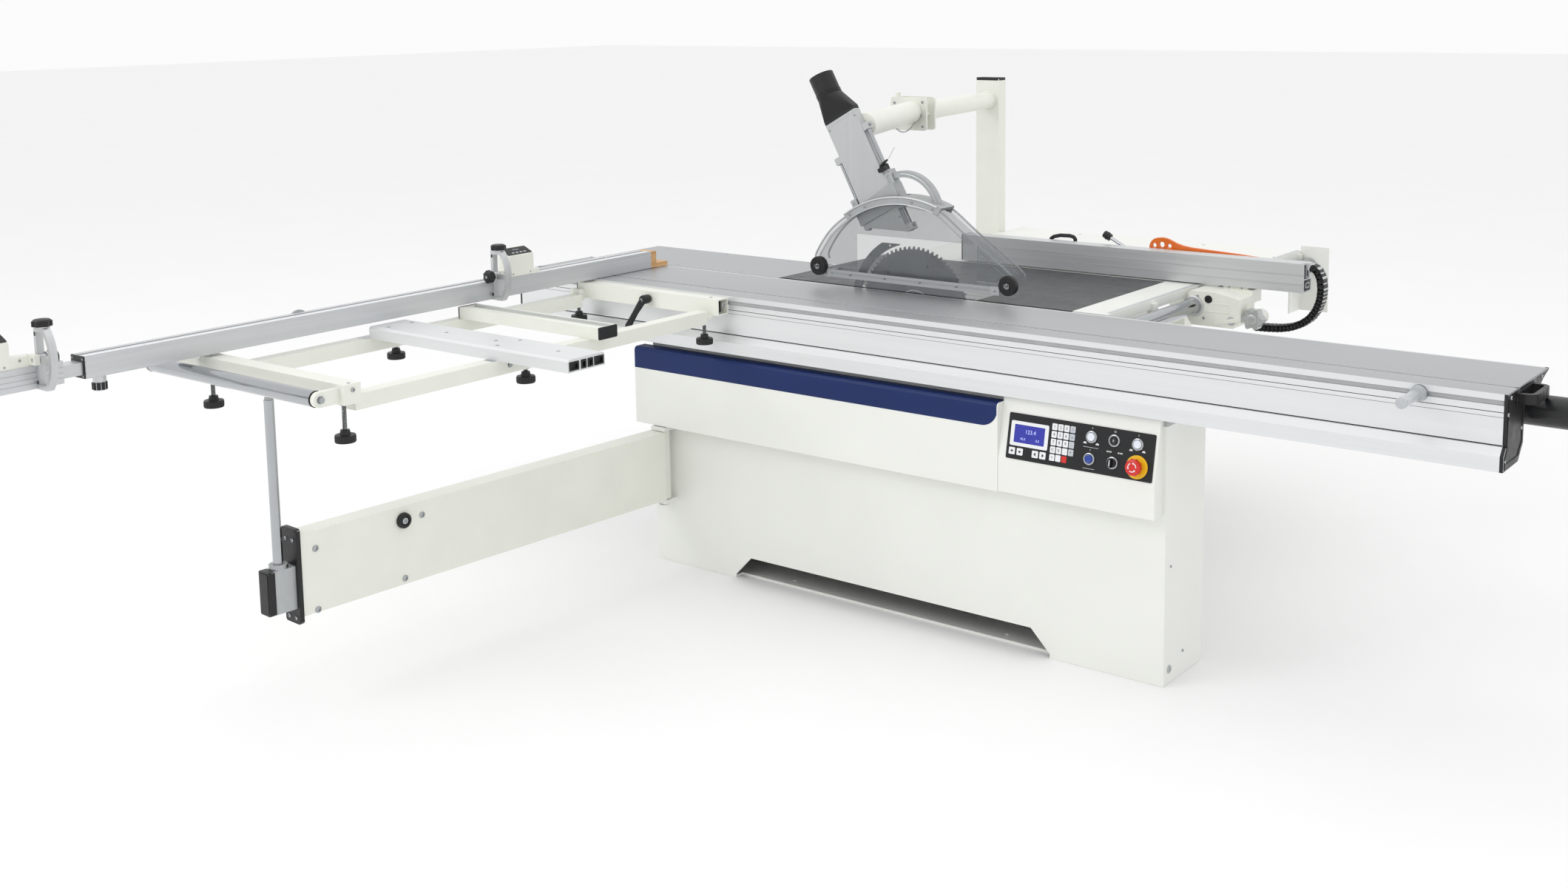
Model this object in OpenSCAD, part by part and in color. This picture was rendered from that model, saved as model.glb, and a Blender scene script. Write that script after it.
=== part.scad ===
// Sliding-table panel saw: X runs along the sliding carriage towards the operator's end,
// Y runs from the carriage back to the rip fence, Z is up and z = 0 is the floor.

/* [Cabinet] */
// Height of the working surface above the floor
table_h = 900; // [880:1:920]
// Length of the front part of the cabinet
cabinet_len = 1786; // [1760:2:1800]
// Sheet thickness of the cabinet
sheet = 5; // [4:0.5:6]
// Distance between the floor bolts along X
anchor_x = 760; // [700:10:780]
// Distance between the floor bolts along Y
anchor_y = 480; // [440:10:490]
// Radius of the floor bolt holes
anchor_r = 9; // [6:0.5:10]
// Outer radius of the extraction outlet
outlet_r = 60; // [50:1:62]

/* [Tables] */
// Length of the cast table along X
cast_len = 1070; // [1060:1:1080]
// Far edge of the cast table
cast_far = 645; // [630:5:648]
// Far edge of the sheet-metal side table
side_far = 1500; // [1450:10:1540]
// Length of the outfeed table
outfeed_len = 817; // [780:1:830]

/* [Carriage] */
// Length of the sliding carriage with its end caps
carriage_len = 3208; // [3180:2:3220]
// Thickness of each end cap
cap_t = 8; // [6:1:10]
// Radius of the fixed guide tube
guide_r = 37.5; // [34:0.5:38]

/* [Squaring frame] */
// Length of the inner and outer bars
frame_len = 600; // [590:1:604]
// Width of the square bars
bar_w = 50; // [46:1:52]
// Distance from the carriage's front face to the far side of the frame
frame_reach = 1428; // [1420:1:1430]
// Radius of the chrome roller
roller_r = 20; // [16:1:21]

/* [Crosscut fence] */
// Height of the fence profile
fence_h = 56; // [50:1:58]
// Depth of the fence profile
fence_w = 60; // [56:1:62]
// Length of the fence
fence_len = 2027; // [1980:1:2030]
// Length of the telescopic extension
ext_len = 814; // [700:2:820]

/* [Saw unit] */
// Diameter of the saw blade
blade_d = 400; // [380:2:400]
// Number of teeth
teeth = 72; // [48:12:72]
// Thickness of the blade
kerf = 3.2; // [2.8:0.1:3.4]
// Radius of the arbor
arbor_r = 15; // [12:0.5:15]
// Running clearance between a shaft and its bore
fit = 0.05; // [0.02:0.01:0.08]

/* [Rip fence] */
// Radius of the round guide bar
rip_bar_r = 25; // [22:0.5:26]
// Length of the rip fence profile
rip_len = 1200; // [1100:10:1240]
// Height of the rip fence profile
rip_h = 88; // [80:1:90]

/* [Overhead guard] */
// Width of the extraction duct
duct_w = 124; // [110:1:130]
// Outer radius of the hose nozzle
nozzle_r = 40; // [38:0.5:46]
// Radius of the hood's wheels
wheel_r = 29; // [24:1:31]

/* [Control box] */
// Length of the control box
control_len = 465; // [455:1:470]
// Lean of the control panel from vertical
lean = 11.31; // [8:0.01:13]
// Radius of the push buttons
button_r = 11; // [9:0.5:11.5]

/* [Hidden] */
round_fn = 64;

// Cabinet
front_y = -300;             // front face of the cabinet
front_back = -66;           // back of the long front part
bed_top = 716;
bed_t = 16;
rear_x0 = -550;
rear_x1 = 415;
rear_y = 600;
bottom_t = 8;
notch_h = 74;
outlet_x = -60;
outlet_z = 250;
outlet_len = 60;

// Carriage
car_x0 = -1484;
car_x1 = car_x0 + carriage_len;
car_front = -317;
lip_front = -335;
car_bottom = 724;
body_back = -178;
plate_edge = 28;
slot_y = -232;              // axis of the upper T-slot
groove_y = -98;
side_slot_z = 879.5;        // axis of the T-slot in the carriage's front face
gap_z0 = 779;
gap_z1 = 783;
guide_y = -110;
guide_z = 826;

// Squaring frame
frame_x1 = -560;
frame_x0 = frame_x1 - frame_len;
bar_z0 = 845;
rail_w = 42;
rail_z0 = 820;
rail_z1 = 860;
outer_y0 = car_front - frame_reach;
outer_y1 = outer_y0 + bar_w;
inner_y0 = car_front - bar_w + 2;
roller_y = -1800;
roller_z = 868;
cross_y0 = -1236;
cross_y1 = -1103;
bar_y0 = -888;
bar_y1 = -816;

// Crosscut fence
fence_x1 = -1121;
fence_x0 = fence_x1 - fence_w;
fence_x = (fence_x0 + fence_x1) / 2;
fence_z0 = table_h + 2;
fence_z1 = fence_z0 + fence_h;
fence_y1 = -54;
fence_y0 = fence_y1 - fence_len;
ext_y1 = -2136;
stop_x = -1109;             // axis of a flip stop
stop_z = 975;

// Swinging support arm
arm_x = -830;
arm_y = -335;
arm_angle = -3.53;          // rest angle of the arm from -Y
arm_len = 1333;
arm_w = 60;
arm_z0 = 222;
arm_z1 = 443;
tube_w = 44;
tube_z0 = 245;
tube_z1 = 360;
post_at = 1380;
post_r = 12.5;
post_top = 812;

// Saw unit
blade_x = -110;
blade_y = 38;
blade_z = 845;
tilt_z = table_h;
motor_z = 610;
motor_r = 90;
way_r = 14;
way_y = 150;
way_xl = -290;
way_xr = 70;
pulley_y0 = 230;
pulley_y1 = 262;
arbor_pulley_r = 38;
motor_pulley_r = 45;
score_x = 170;
score_z = 836;
score_r = 60;

// Rip fence
rip_x = 572;
rip_z = 852;
rip_y = 650;
rip_x1 = 876;
rip_z0 = 905;
knob_x = 753;
knob_z = 826;

// Guard
duct_lean = 28.6;           // lean of the duct from vertical towards -X
duct_x = -193.1;            // middle of the duct's lower mouth
duct_z = 1088.7;
mouth_z = 1091;             // height of the duct's level lower mouth
nozzle_dx = -11;            // the hose nozzle's shift from the duct's middle
duct_y0 = 24;
duct_y1 = 52;
duct_len = 390;
rod_y_mid = (duct_y0 + duct_y1) / 2;
hood_y0 = 3;
hood_y1 = 73;
hood_t = 3;
boom_z = 1406;
hinge_x = -540;
hinge_y = 646;

// Control box
ctrl_x0 = 418;
ctrl_y = -348;
ctrl_z = 556;

// ---- helpers -------------------------------------------------------------
module box(x0, x1, y0, y1, z0, z1) {
    translate([x0, y0, z0]) cube([x1 - x0, y1 - y0, z1 - z0]);
}
module rod_x(x0, x1, y, z, r) {
    translate([x0, y, z]) rotate([0, 90, 0]) cylinder(h = x1 - x0, r = r, $fn = round_fn);
}
module rod_y(x, y0, y1, z, r) {
    translate([x, y0, z]) rotate([-90, 0, 0]) cylinder(h = y1 - y0, r = r, $fn = round_fn);
}
module rod_z(x, y, z0, z1, r) {
    translate([x, y, z0]) cylinder(h = z1 - z0, r = r, $fn = round_fn);
}
// Extrudes a (y, z) outline along X
module along_x(x0, x1) {
    translate([x0, 0, 0]) rotate([90, 0, 90]) linear_extrude(x1 - x0) children();
}
// Extrudes an (x, z) outline along Y
module along_y(y0, y1) {
    translate([0, y1, 0]) rotate([90, 0, 0]) linear_extrude(y1 - y0) children();
}
// A rod between two points
module strut(a, b, r) {
    d = b - a;
    l = norm(d);
    translate(a) rotate([0, acos(d[2] / l), atan2(d[1], d[0])])
        cylinder(h = l, r = r, $fn = round_fn);
}
// Rounded rectangle with true corner arcs
module round_rect(x0, x1, y0, y1, r) {
    translate([x0 + r, y0]) square([x1 - x0 - 2 * r, y1 - y0]);
    translate([x0, y0 + r]) square([x1 - x0, y1 - y0 - 2 * r]);
    for (x = [x0 + r, x1 - r], y = [y0 + r, y1 - r]) translate([x, y]) circle(r, $fn = round_fn);
}

// ---- cabinet -------------------------------------------------------------
module cabinet_body(inset, z0, top) {
    half = cabinet_len / 2;
    box(-half + inset, half - inset, front_y + inset, front_back - inset, z0,
        bed_top - bed_t + (inset > 0 ? 1 : 0));
    box(rear_x0 + inset, rear_x1 - inset, front_back - 1 - inset, rear_y - inset, z0, top);
}
module base_cabinet() {
    color("whitesmoke") difference() {
        union() {
            difference() {
                cabinet_body(0, 0, table_h - 12);
                cabinet_body(sheet, bottom_t, table_h);
                box(rear_x0 - 1, rear_x1 + 1, front_back - 10, 60, bed_top - bed_t, table_h);
            }
            rod_y(outlet_x, rear_y - sheet, rear_y + outlet_len, outlet_z, outlet_r);
        }
        along_y(front_y - 5, front_y + 30)
            polygon([[-562, -1], [-562, 12], [-501, notch_h], [496, notch_h], [556, 12], [556, -1]]);
        for (x = [-1, 1], y = [-1, 1])
            rod_z(x * anchor_x / 2, y * anchor_y / 2, -1, bottom_t + 1, anchor_r);
        rod_y(outlet_x, rear_y - 20, rear_y + outlet_len + 1, outlet_z, outlet_r - 3);
    }
    // Brackets of the swinging arm with their fixed pin
    color("dimgray") {
        for (z = [arm_z0 - 14, arm_z1 + 2])
            box(arm_x - 28, arm_x + 28, arm_y - 22, front_y, z, z + 12);
        rod_z(arm_x, arm_y, arm_z0 - 20, arm_z1 + 16, 12);
    }
}
module bed_rail() {
    color("gainsboro") {
        difference() {
            box(-cabinet_len / 2, cabinet_len / 2, front_y, front_back, bed_top - bed_t, bed_top);
            box(-380, 160, -250, front_back + 1, bed_top - bed_t - 1, bed_top + 1);
        }
        for (x = [-800, -450, 250, 700])
            box(x - 40, x + 40, guide_y - 20, guide_y + 20, bed_top, guide_z - guide_r + 6);
    }
}
module guide_tube() {
    color("black") difference() {
        rod_x(-1400, 2150, guide_y, guide_z, guide_r);
        rod_x(-1392, 2142, guide_y, guide_z, guide_r - 4);
        for (x = [-800, -450, 250, 700])
            box(x - 40.1, x + 40.1, guide_y - 21, guide_y + 21, 700, guide_z - guide_r + 6.1);
    }
}
module cover_outline(inset) {
    top = 706 - inset;
    low = 460 + inset;
    front = -350 + inset;
    r = 12 - inset;
    polygon([[front_y, low], [front, low], [front, top - r], [front + r, top - r],
        [front + r, top], [front_y, top]]);
    translate([front + r, top - r]) circle(r, $fn = round_fn);
}
module front_cover() {
    color("whitesmoke") difference() {
        along_x(-927, ctrl_x0) cover_outline(0);
        along_x(-924, ctrl_x0 - 3) cover_outline(3);
        box(-894, ctrl_x0 - 3, front_y - 4, front_y + 1, 463, 703);
    }
}
module control_outline(inset) {
    rise = tan(lean);
    top = 718 - inset;
    low = 462 + inset;
    front = ctrl_y + inset;
    polygon([[front_y, low], [front, low], [front, ctrl_z], [front + (top - ctrl_z) * rise, top],
        [front_y, top]]);
}
// Places children on the sloping panel: x along it, v up its face, +Z out of it
module on_panel(x, v) {
    translate([x, ctrl_y + v * sin(lean), ctrl_z + v * cos(lean)]) rotate([90 - lean, 0, 0]) children();
}
BUTTONS = [[694, 96], [827, 96], [760, 96], [693, 38]];
ESTOP = [830, 38];
SELECTOR = [760, 38];
module control_box() {
    color("whitesmoke") difference() {
        along_x(ctrl_x0 + 0.2, ctrl_x0 + control_len) control_outline(0);
        along_x(ctrl_x0 + 3, ctrl_x0 + control_len - 3) control_outline(3);
        for (b = BUTTONS) on_panel(b[0], b[1]) translate([0, 0, -8]) cylinder(h = 16, r = button_r + 1,
            $fn = round_fn);
        on_panel(ESTOP[0], ESTOP[1]) translate([0, 0, -8]) cylinder(h = 16, r = 11, $fn = round_fn);
    }
}
module control_panel() {
    color("black") difference() {
        on_panel(659, 65.5) translate([0, 0, 0.05]) {
            linear_extrude(2) round_rect(-216, 216, -62, 62, 4);
            for (b = BUTTONS) translate([b[0] - 659, b[1] - 65.5, 0])
                cylinder(h = 4.5, r = 14.5, $fn = round_fn);
            translate([ESTOP[0] - 659, ESTOP[1] - 65.5, 0]) cylinder(h = 4, r = 29, $fn = round_fn);
            translate([SELECTOR[0] - 659, SELECTOR[1] - 65.5, 0])
                cylinder(h = 5, r = 14.5, $fn = round_fn);
        }
        for (b = BUTTONS) on_panel(b[0], b[1]) translate([0, 0, -1])
            cylinder(h = 8, r = button_r + 0.35, $fn = round_fn);
        on_panel(ESTOP[0], ESTOP[1]) translate([0, 0, -1]) cylinder(h = 8, r = 10.35, $fn = round_fn);
        on_panel(SELECTOR[0], SELECTOR[1]) translate([0, 0, -1]) cylinder(h = 8, r = 6 + fit,
            $fn = round_fn);
    }
}
module selector_switch() {
    color("black") on_panel(SELECTOR[0], SELECTOR[1]) {
        translate([0, 0, 0.3]) cylinder(h = 6, r = 6, $fn = round_fn);
        translate([0, 0, 5.4]) cylinder(h = 7, r = 12, $fn = round_fn);
        translate([-3.5, -10, 12]) cube([7, 20, 9]);
    }
}
module push_button(i) {
    on_panel(BUTTONS[i][0], BUTTONS[i][1]) {
        translate([0, 0, -12]) cylinder(h = 19, r = button_r, $fn = round_fn);
        translate([0, 0, -14]) cylinder(h = 4, r = button_r + 3, $fn = round_fn);
    }
}
module button_start() { color("white") push_button(0); }
module button_scoring() { color("white") push_button(1); }
module button_stop() { color("black") push_button(2); }
module button_reset() { color("royalblue") push_button(3); }
module estop_button() {
    color("red") on_panel(ESTOP[0], ESTOP[1]) {
        translate([0, 0, -12]) cylinder(h = 26, r = 10, $fn = round_fn);
        translate([0, 0, -14]) cylinder(h = 4, r = 14, $fn = round_fn);
        translate([0, 0, 13]) cylinder(h = 5, r1 = 14, r2 = 21, $fn = round_fn);
        translate([0, 0, 18]) cylinder(h = 10, r = 21, $fn = round_fn);
    }
}

// ---- tables --------------------------------------------------------------
plate_t = 12;
cast_x0 = -640;
cast_x1 = cast_x0 + cast_len;
cast_y0 = 44;
insert_x0 = -330;
insert_x1 = 110;
insert_y1 = 160;
module trunnion_arc(r0, r1, a0, a1) {
    translate([blade_y, tilt_z]) intersection() {
        difference() {
            circle(r1, $fn = round_fn * 2);
            circle(r0, $fn = round_fn * 2);
        }
        mid = (a0 + a1) / 2;
        polygon([[0, 0], [600 * sin(a0), -600 * cos(a0)], [900 * sin(mid), -900 * cos(mid)],
            [600 * sin(a1), -600 * cos(a1)]]);
    }
}
module saw_table() {
    low = table_h - plate_t;
    color("dimgray") {
        difference() {
            box(cast_x0, cast_x1, cast_y0, cast_far, low - 28, table_h);
            box(cast_x0 + 10, cast_x1 - 10, cast_y0 + 10, cast_far - 10, low - 29, low);
            box(-345, 240, cast_y0 - 1, cast_y0 + 11, low - 29, low);
            box(insert_x0 + 8, insert_x1 - 8, cast_y0 - 1, insert_y1 - 8, low - 1, table_h + 1);
            box(insert_x0 - 0.2, insert_x1 + 0.2, cast_y0 - 1, insert_y1 + 0.2, table_h - 8,
                table_h + 1);
        }
        for (x = [-560, -440, 300]) box(x - 5, x + 5, cast_y0 + 10, rear_y - sheet - 2, low - 20, low);
        // Fixed halves of the tilting trunnions, bolted under the plate
        for (x = [-366, 115.3]) {
            along_x(x, x + 15.7) trunnion_arc(330, 360, 0, 70);
            box(x, x + 15.7, blade_y + 318, blade_y + 350, 770, low);
        }
    }
}
module table_insert() {
    color("silver") box(insert_x0, insert_x1, cast_y0 - 0.5, insert_y1, table_h - 8, table_h);
}
module outfeed_table() {
    x0 = cast_x0 - outfeed_len;
    color("silver") {
        difference() {
            box(x0, cast_x0, 33, 350, table_h - 40, table_h);
            box(x0 + 3, cast_x0 - 8, 36, 347, table_h - 41, table_h - 4);
        }
        for (y = [60, 300]) box(x0 + 80, cast_x0, y, y + 30, table_h - 60, table_h - 30);
    }
}
module side_table() {
    color("whitesmoke") {
        // White strip beside the cast table
        difference() {
            box(cast_x1, 540, cast_y0, cast_far, table_h - 28, table_h);
            box(cast_x1 - 1, 536, cast_y0 + 4, cast_far + 1, table_h - 29, table_h - 4);
        }
        // Folded sheet table behind the cast table
        difference() {
            box(-588, 540, cast_far, side_far, table_h - 50, table_h);
            box(-584, 536, cast_far + 4, side_far - 4, table_h - 51, table_h - 4);
        }
        // Carrier rail with the brackets of the guide bar
        for (y = [320, 900, side_far - 40]) box(530, rip_x - 22, y, y + 30, rip_z - 20, table_h - 10);
        box(536, 540, side_far - 100, side_far, 690, table_h - 40);
        box(540, 640, side_far - 6, side_far, 690, 917);
    }
}
module rip_bar() {
    color("silver") {
        difference() {
            rod_y(rip_x, 55, side_far - 10, rip_z, rip_bar_r);
            for (y = [320, 900, side_far - 40])
                box(500, rip_x - 21.9, y - 0.1, y + 30.1, rip_z - 21, table_h);
        }
    }
}
module support_posts() {
    color("whitesmoke") {
        // Column of the overhead guard
        box(-689, -589, 1325, 1375, 10, 1486);
        box(-739, -550, 1290, 1410, 0, 10);
        // Leg under the far edge of the side table
        box(90, 150, 1400, 1460, 10, table_h - 50.2);
        box(70, 170, 1380, 1480, 0, 10);
    }
}

// ---- overhead guard ------------------------------------------------------
module guard_boom() {
    plate_gap = 48;
    color("whitesmoke") {
        difference() {
            union() {
                strut([-639, 1332, boom_z], [-508, hinge_y + plate_gap + 6, boom_z], 32);
                strut([-528, hinge_y, boom_z], [-308, duct_y1 + 2, boom_z], 38);
            }
            box(-400, -200, 0, duct_y1 + 0.2, 1300, 1500);
            box(-700, -580, 1324.8, 1400, 1300, 1500);
        }
        for (y = [hinge_y - 4, hinge_y + plate_gap])
            along_y(y, y + 8) round_rect(hinge_x - 74, hinge_x + 74, 1342, 1456, 12);
        rod_z(hinge_x - 64, hinge_y + 26, 1340, 1470, 9);
        for (z = [1345, 1440]) box(hinge_x - 74, hinge_x - 50, hinge_y, hinge_y + 52, z, z + 12);
    }
    // Locking pin through both plates
    color("silver") {
        rod_y(-491, hinge_y - 12, hinge_y + 62, 1396, 5);
        translate([-491, hinge_y - 14, 1396]) sphere(8, $fn = 32);
    }
}
// Places children in the duct's own axes: origin at the lower mouth, z up the duct
module in_duct() {
    translate([duct_x, 0, duct_z]) rotate([0, -duct_lean, 0]) children();
}
// The two hood rods: side of the duct, distance from its middle, foot, lower and upper clamp
RODS = [[-1, duct_w / 2 + 13, 34, 38, 262], [1, duct_w / 2 + 11, -14, -30, 312]];
clamp_h = 22;
rod_r = 6;
module guard_duct() {
    half = duct_w / 2;
    color("gainsboro") {
        difference() {
            union() {
                difference() {
                    in_duct() box(-half, half, duct_y0, duct_y1, -50, duct_len);
                    box(-300, 0, duct_y0 - 1, duct_y1 + 1, 1000, mouth_z);
                }
                in_duct() for (r = RODS, z = [r[3], r[4]])
                    box(r[0] > 0 ? half - 2 : -r[1] - 10, r[0] > 0 ? r[1] + 10 : -half + 2,
                        rod_y_mid - 13, rod_y_mid + 13, z, z + clamp_h);
            }
            in_duct() box(-half + 3, half - 3, duct_y0 + 3, duct_y1 - 3, -60, duct_len + 1);
        }
        in_duct() for (r = RODS) rod_z(r[0] * r[1], rod_y_mid, r[2], r[4] + clamp_h + 2, rod_r);
    }
}
// Outline of the nozzle: rectangular at the duct, round at the hose
module nozzle_solid(w) {
    z0 = duct_len + 12;
    z1 = duct_len + 80;
    box(-duct_w / 2 + w, duct_w / 2 - w, duct_y0 + w, duct_y1 - w, duct_len + 0.1 - w, z0);
    hull() {
        box(-duct_w / 2 + w, duct_w / 2 - w, duct_y0 + w, duct_y1 - w, z0 - 1, z0);
        translate([nozzle_dx, rod_y_mid, z1]) cylinder(h = 1, r = nozzle_r - w - 0.5, $fn = 32);
    }
    translate([nozzle_dx, rod_y_mid, z1]) cylinder(h = 70 + w, r = nozzle_r - w, $fn = round_fn);
}
module duct_nozzle() {
    color("black") in_duct() difference() {
        nozzle_solid(0);
        nozzle_solid(3);
    }
}
// Side view of the hood: a circular crown, a straight front slope and an open bottom
HOOD = [[-428, 952], [-461, 975], [-461, 1001], [-413, 1069], [-356, 1117], [-282, 1158],
    [-215, 1179], [-150, 1187], [-68, 1182], [1, 1166], [91, 1102], [169, 1050], [250, 992],
    [250, 970], [207, 952]];
HOOD_IN = [[-424, 940], [-452, 978], [-452, 999], [-407, 1063], [-352, 1110], [-280, 1149],
    [-214, 1170], [-150, 1178], [-70, 1173], [-3, 1158], [86, 1094], [164, 1042], [242, 985],
    [242, 974], [205, 940]];
// Passage of the duct, its rods and clamps through the hood's crown
module duct_passage() {
    in_duct() box(-duct_w / 2 - 30, duct_w / 2 + 40, hood_y0 + hood_t + 0.5, hood_y1 - hood_t - 0.5,
        -60, 300);
}
module hood_shell() {
    color("lightgray", 0.4) difference() {
        along_y(hood_y0, hood_y1) polygon(HOOD);
        along_y(hood_y0 + hood_t, hood_y1 - hood_t) polygon(HOOD_IN);
        // Cut-out in the far wall for the tilted blade
        box(-352, 92, hood_y1 - hood_t - 1, hood_y1 + 1, 900, 1062);
        duct_passage();
        // Pockets for the plates of the wheels
        box(-460, -424, 2, 12, 936, 974);
        box(204, 262, 2, 12, 936, 974);
    }
}
module crown_arc(r0, r1) {
    intersection() {
        translate([-133, 822]) difference() {
            circle(r1, $fn = 128);
            circle(r0, $fn = 128);
        }
        polygon([[-133, 900], [-493, 1280], [66, 1280], [-8, 1140], [-40, 900]]);
    }
}
module hood_frame() {
    color("darkgray") difference() {
        union() {
            // Bottom rails along both walls
            box(-426, 206, hood_y0, hood_y0 + 8, 932, 952);
            box(-426, -354, hood_y1 - 8, hood_y1, 932, 952);
            box(94, 206, hood_y1 - 8, hood_y1, 932, 952);
            // Cross pieces that carry the wheels
            for (x = [-426, 194]) box(x, x + 12, hood_y0, hood_y1, 936, 948);
            box(-456, -426, hood_y0, hood_y0 + 8, 938, 972);
            box(206, 258, hood_y0, hood_y0 + 8, 938, 972);
            // Slide blocks on the two rods, joined by plates in front of and behind the duct
            in_duct() difference() {
                union() {
                    box(-RODS[0][1] - 14, -RODS[0][1] + 8, 22, 54, 118, 140);
                    box(RODS[1][1] - 8.5, RODS[1][1] + 18, 22, 54, 45, 168);
                    for (y = [duct_y0 - 5, duct_y1 + 1])
                        box(-RODS[0][1] - 14, RODS[1][1] + 18, y, y + 4, 55, 118);
                    for (x = [-RODS[0][1] - 14, RODS[1][1] + 12])
                        box(x, x + 6, duct_y0 - 5, duct_y1 + 5, 90, 122);
                }
                for (r = RODS) rod_z(r[0] * r[1], rod_y_mid, 0, 300, rod_r + fit);
            }
            // Cast crown over the clear shell
            difference() {
                along_y(hood_y0 - 3, hood_y1 + 3) crown_arc(371, 379);
                duct_passage();
            }
            along_y(hood_y0 - 3, hood_y0 - 0.1) crown_arc(354, 372);
            along_y(hood_y1 + 0.1, hood_y1 + 3) crown_arc(354, 372);
            // Loop handle beside the taller slide block
            along_y(28, 48) difference() {
                union() {
                    intersection() {
                        difference() {
                            translate([-140, 1146]) circle(130, $fn = 96);
                            translate([-140, 1146]) circle(110, $fn = 96);
                        }
                        polygon([[-182, 1230], [-182, 1300], [20, 1300], [20, 1165], [-60, 1165]]);
                    }
                    polygon([[-40, 1168], [-4, 1168], [-9, 1185], [-32, 1185]]);
                }
                translate([-133, 822]) circle(372, $fn = 128);
            }
        }
        rod_y(-444, -10, 90, 963, 4 + fit);
        rod_y(246, -10, 90, 963, 4 + fit);
    }
}
module hood_wheel(x) {
    color("black") {
        rod_y(x, -14, hood_y0 - 0.4, 963, wheel_r);
        rod_y(x, -18, 11.6, 963, 4);
    }
}
module hood_wheel_front() { hood_wheel(246); }
module hood_wheel_rear() { hood_wheel(-444); }

// ---- carriage ------------------------------------------------------------
module carriage_outline() {
    polygon([[car_front, table_h], [car_front, gap_z1], [car_front + 5, gap_z1],
        [car_front + 5, gap_z0], [car_front, gap_z0], [lip_front, 760], [lip_front, car_bottom],
        [body_back - 35, car_bottom], [body_back, 759], [body_back, 866], [-60, 866], [-12, 885],
        [plate_edge, table_h - 4.5], [plate_edge, table_h]]);
}
module carriage_beam() {
    color("lightgray") difference() {
        along_x(car_x0 + cap_t, car_x1 - cap_t) carriage_outline();
        along_x(car_x0, car_x1) {
            polygon([[car_front + 9, 768], [lip_front + 4, 757], [lip_front + 4, 728], [-260, 728],
                [-260, 768]]);
            polygon([[-255, 728], [-215, 728], [-182, 761], [-182, 786], [-255, 786]]);
            translate([-308, 772]) square([126, 90]);
            translate([-172, 870]) square([60, 16]);
            polygon([[-106, 870], [-62, 870], [-30, 882], [-30, 892], [-106, 892]]);
            // Upper T-slot, shallow groove and front T-slot
            translate([slot_y - 5, 892]) square([10, 9]);
            translate([slot_y - 10, 884]) square([20, 8.1]);
            translate([groove_y - 3, 898]) square([6, 3]);
            translate([car_front - 1, side_slot_z - 6]) square([8, 12]);
            translate([car_front + 6.9, side_slot_z - 11]) square([6, 20]);
        }
    }
}
module carriage_end_caps() {
    color("black") for (x = [car_x0, car_x1 - cap_t]) along_x(x, x + cap_t)
        carriage_outline();
    // D-shaped grip on the operator's end
    color("black") translate([car_x1, 0, 866]) difference() {
        linear_extrude(24) intersection() {
            round_rect(-40, 42, -245, -112, 24);
            translate([0, -260]) square([60, 160]);
        }
        translate([0, 0, -1]) linear_extrude(26) round_rect(-60, 31, -234, -123, 15);
    }
}
module push_handle() {
    x = 1528;
    color("white") {
        rod_y(x, car_front - 118, car_front - 20, side_slot_z, 13);
        rod_y(x, car_front - 20, car_front - 0.3, side_slot_z, 17);
        rod_y(x, car_front - 1, car_front + 9, side_slot_z, 5);
        box(x - 14, x + 14, car_front + 7.2, car_front + 12.4, side_slot_z - 8, side_slot_z + 8);
    }
}
module roller_cage() {
    n = 12;
    x0 = -380;
    x1 = 620;
    y = (body_back + guide_y - guide_r) / 2;
    color("silver") {
        for (z = [guide_z - 20, guide_z + 14]) box(x0, x1, y - 11, y + 11, z, z + 6);
        for (x = [x0, x1 - 6]) box(x, x + 6, y - 11, y + 11, guide_z - 20, guide_z + 20);
        for (i = [0:n - 1]) {
            x = x0 + 34 + i * (x1 - x0 - 68) / (n - 1);
            rod_z(x, y, guide_z - 10, guide_z + 10, 14.8);
            rod_z(x, y, guide_z - 19, guide_z + 19, 4);
        }
    }
}

// ---- squaring frame ------------------------------------------------------
module frame_bars() {
    color("whitesmoke") {
        difference() {
            union() {
                box(frame_x0, frame_x1, inner_y0, car_front - 0.1, bar_z0, bar_z0 + bar_w);
                box(frame_x0 - 10, frame_x0 + 30, inner_y0 - 22, inner_y0, bar_z0 - 7, bar_z0 + 30);
                box(frame_x1 - 70, frame_x1 - 20, inner_y0 - 22, inner_y0, bar_z0 - 7, bar_z0);
            }
            rod_y(-842, inner_y0 - 1, inner_y0 + 30, 872, 6 + fit);
            box(frame_x1 - 30, frame_x1 + 1, inner_y0 + 4, car_front - 4.1, bar_z0 + 4,
                bar_z0 + bar_w - 4);
        }
        difference() {
            union() {
                box(frame_x0, frame_x1, outer_y0, outer_y1, bar_z0, bar_z0 + bar_w);
                // Plates that carry the roller
                for (x = [frame_x1 - 32, -1308]) {
                    box(x, x + 14, roller_y, outer_y0 + 10, bar_z0 + 4, bar_z0 + 42);
                    rod_x(x, x + 14, roller_y, roller_z, 19);
                }
                box(-1308, frame_x0, outer_y0 + 2, outer_y0 + 12, bar_z0 + 4, bar_z0 + 42);
                rod_z(-907, -1712, post_top + 4, bar_z0 + 1, 16);
            }
            rod_x(-1320, -500, roller_y, roller_z, 8 + fit);
        }
    }
}
module frame_rails() {
    color("whitesmoke") for (x = [frame_x0, frame_x1 - 24 - rail_w])
        box(x, x + rail_w, outer_y1 + 0.1, inner_y0 - 22.1, rail_z0, rail_z1);
}
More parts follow.
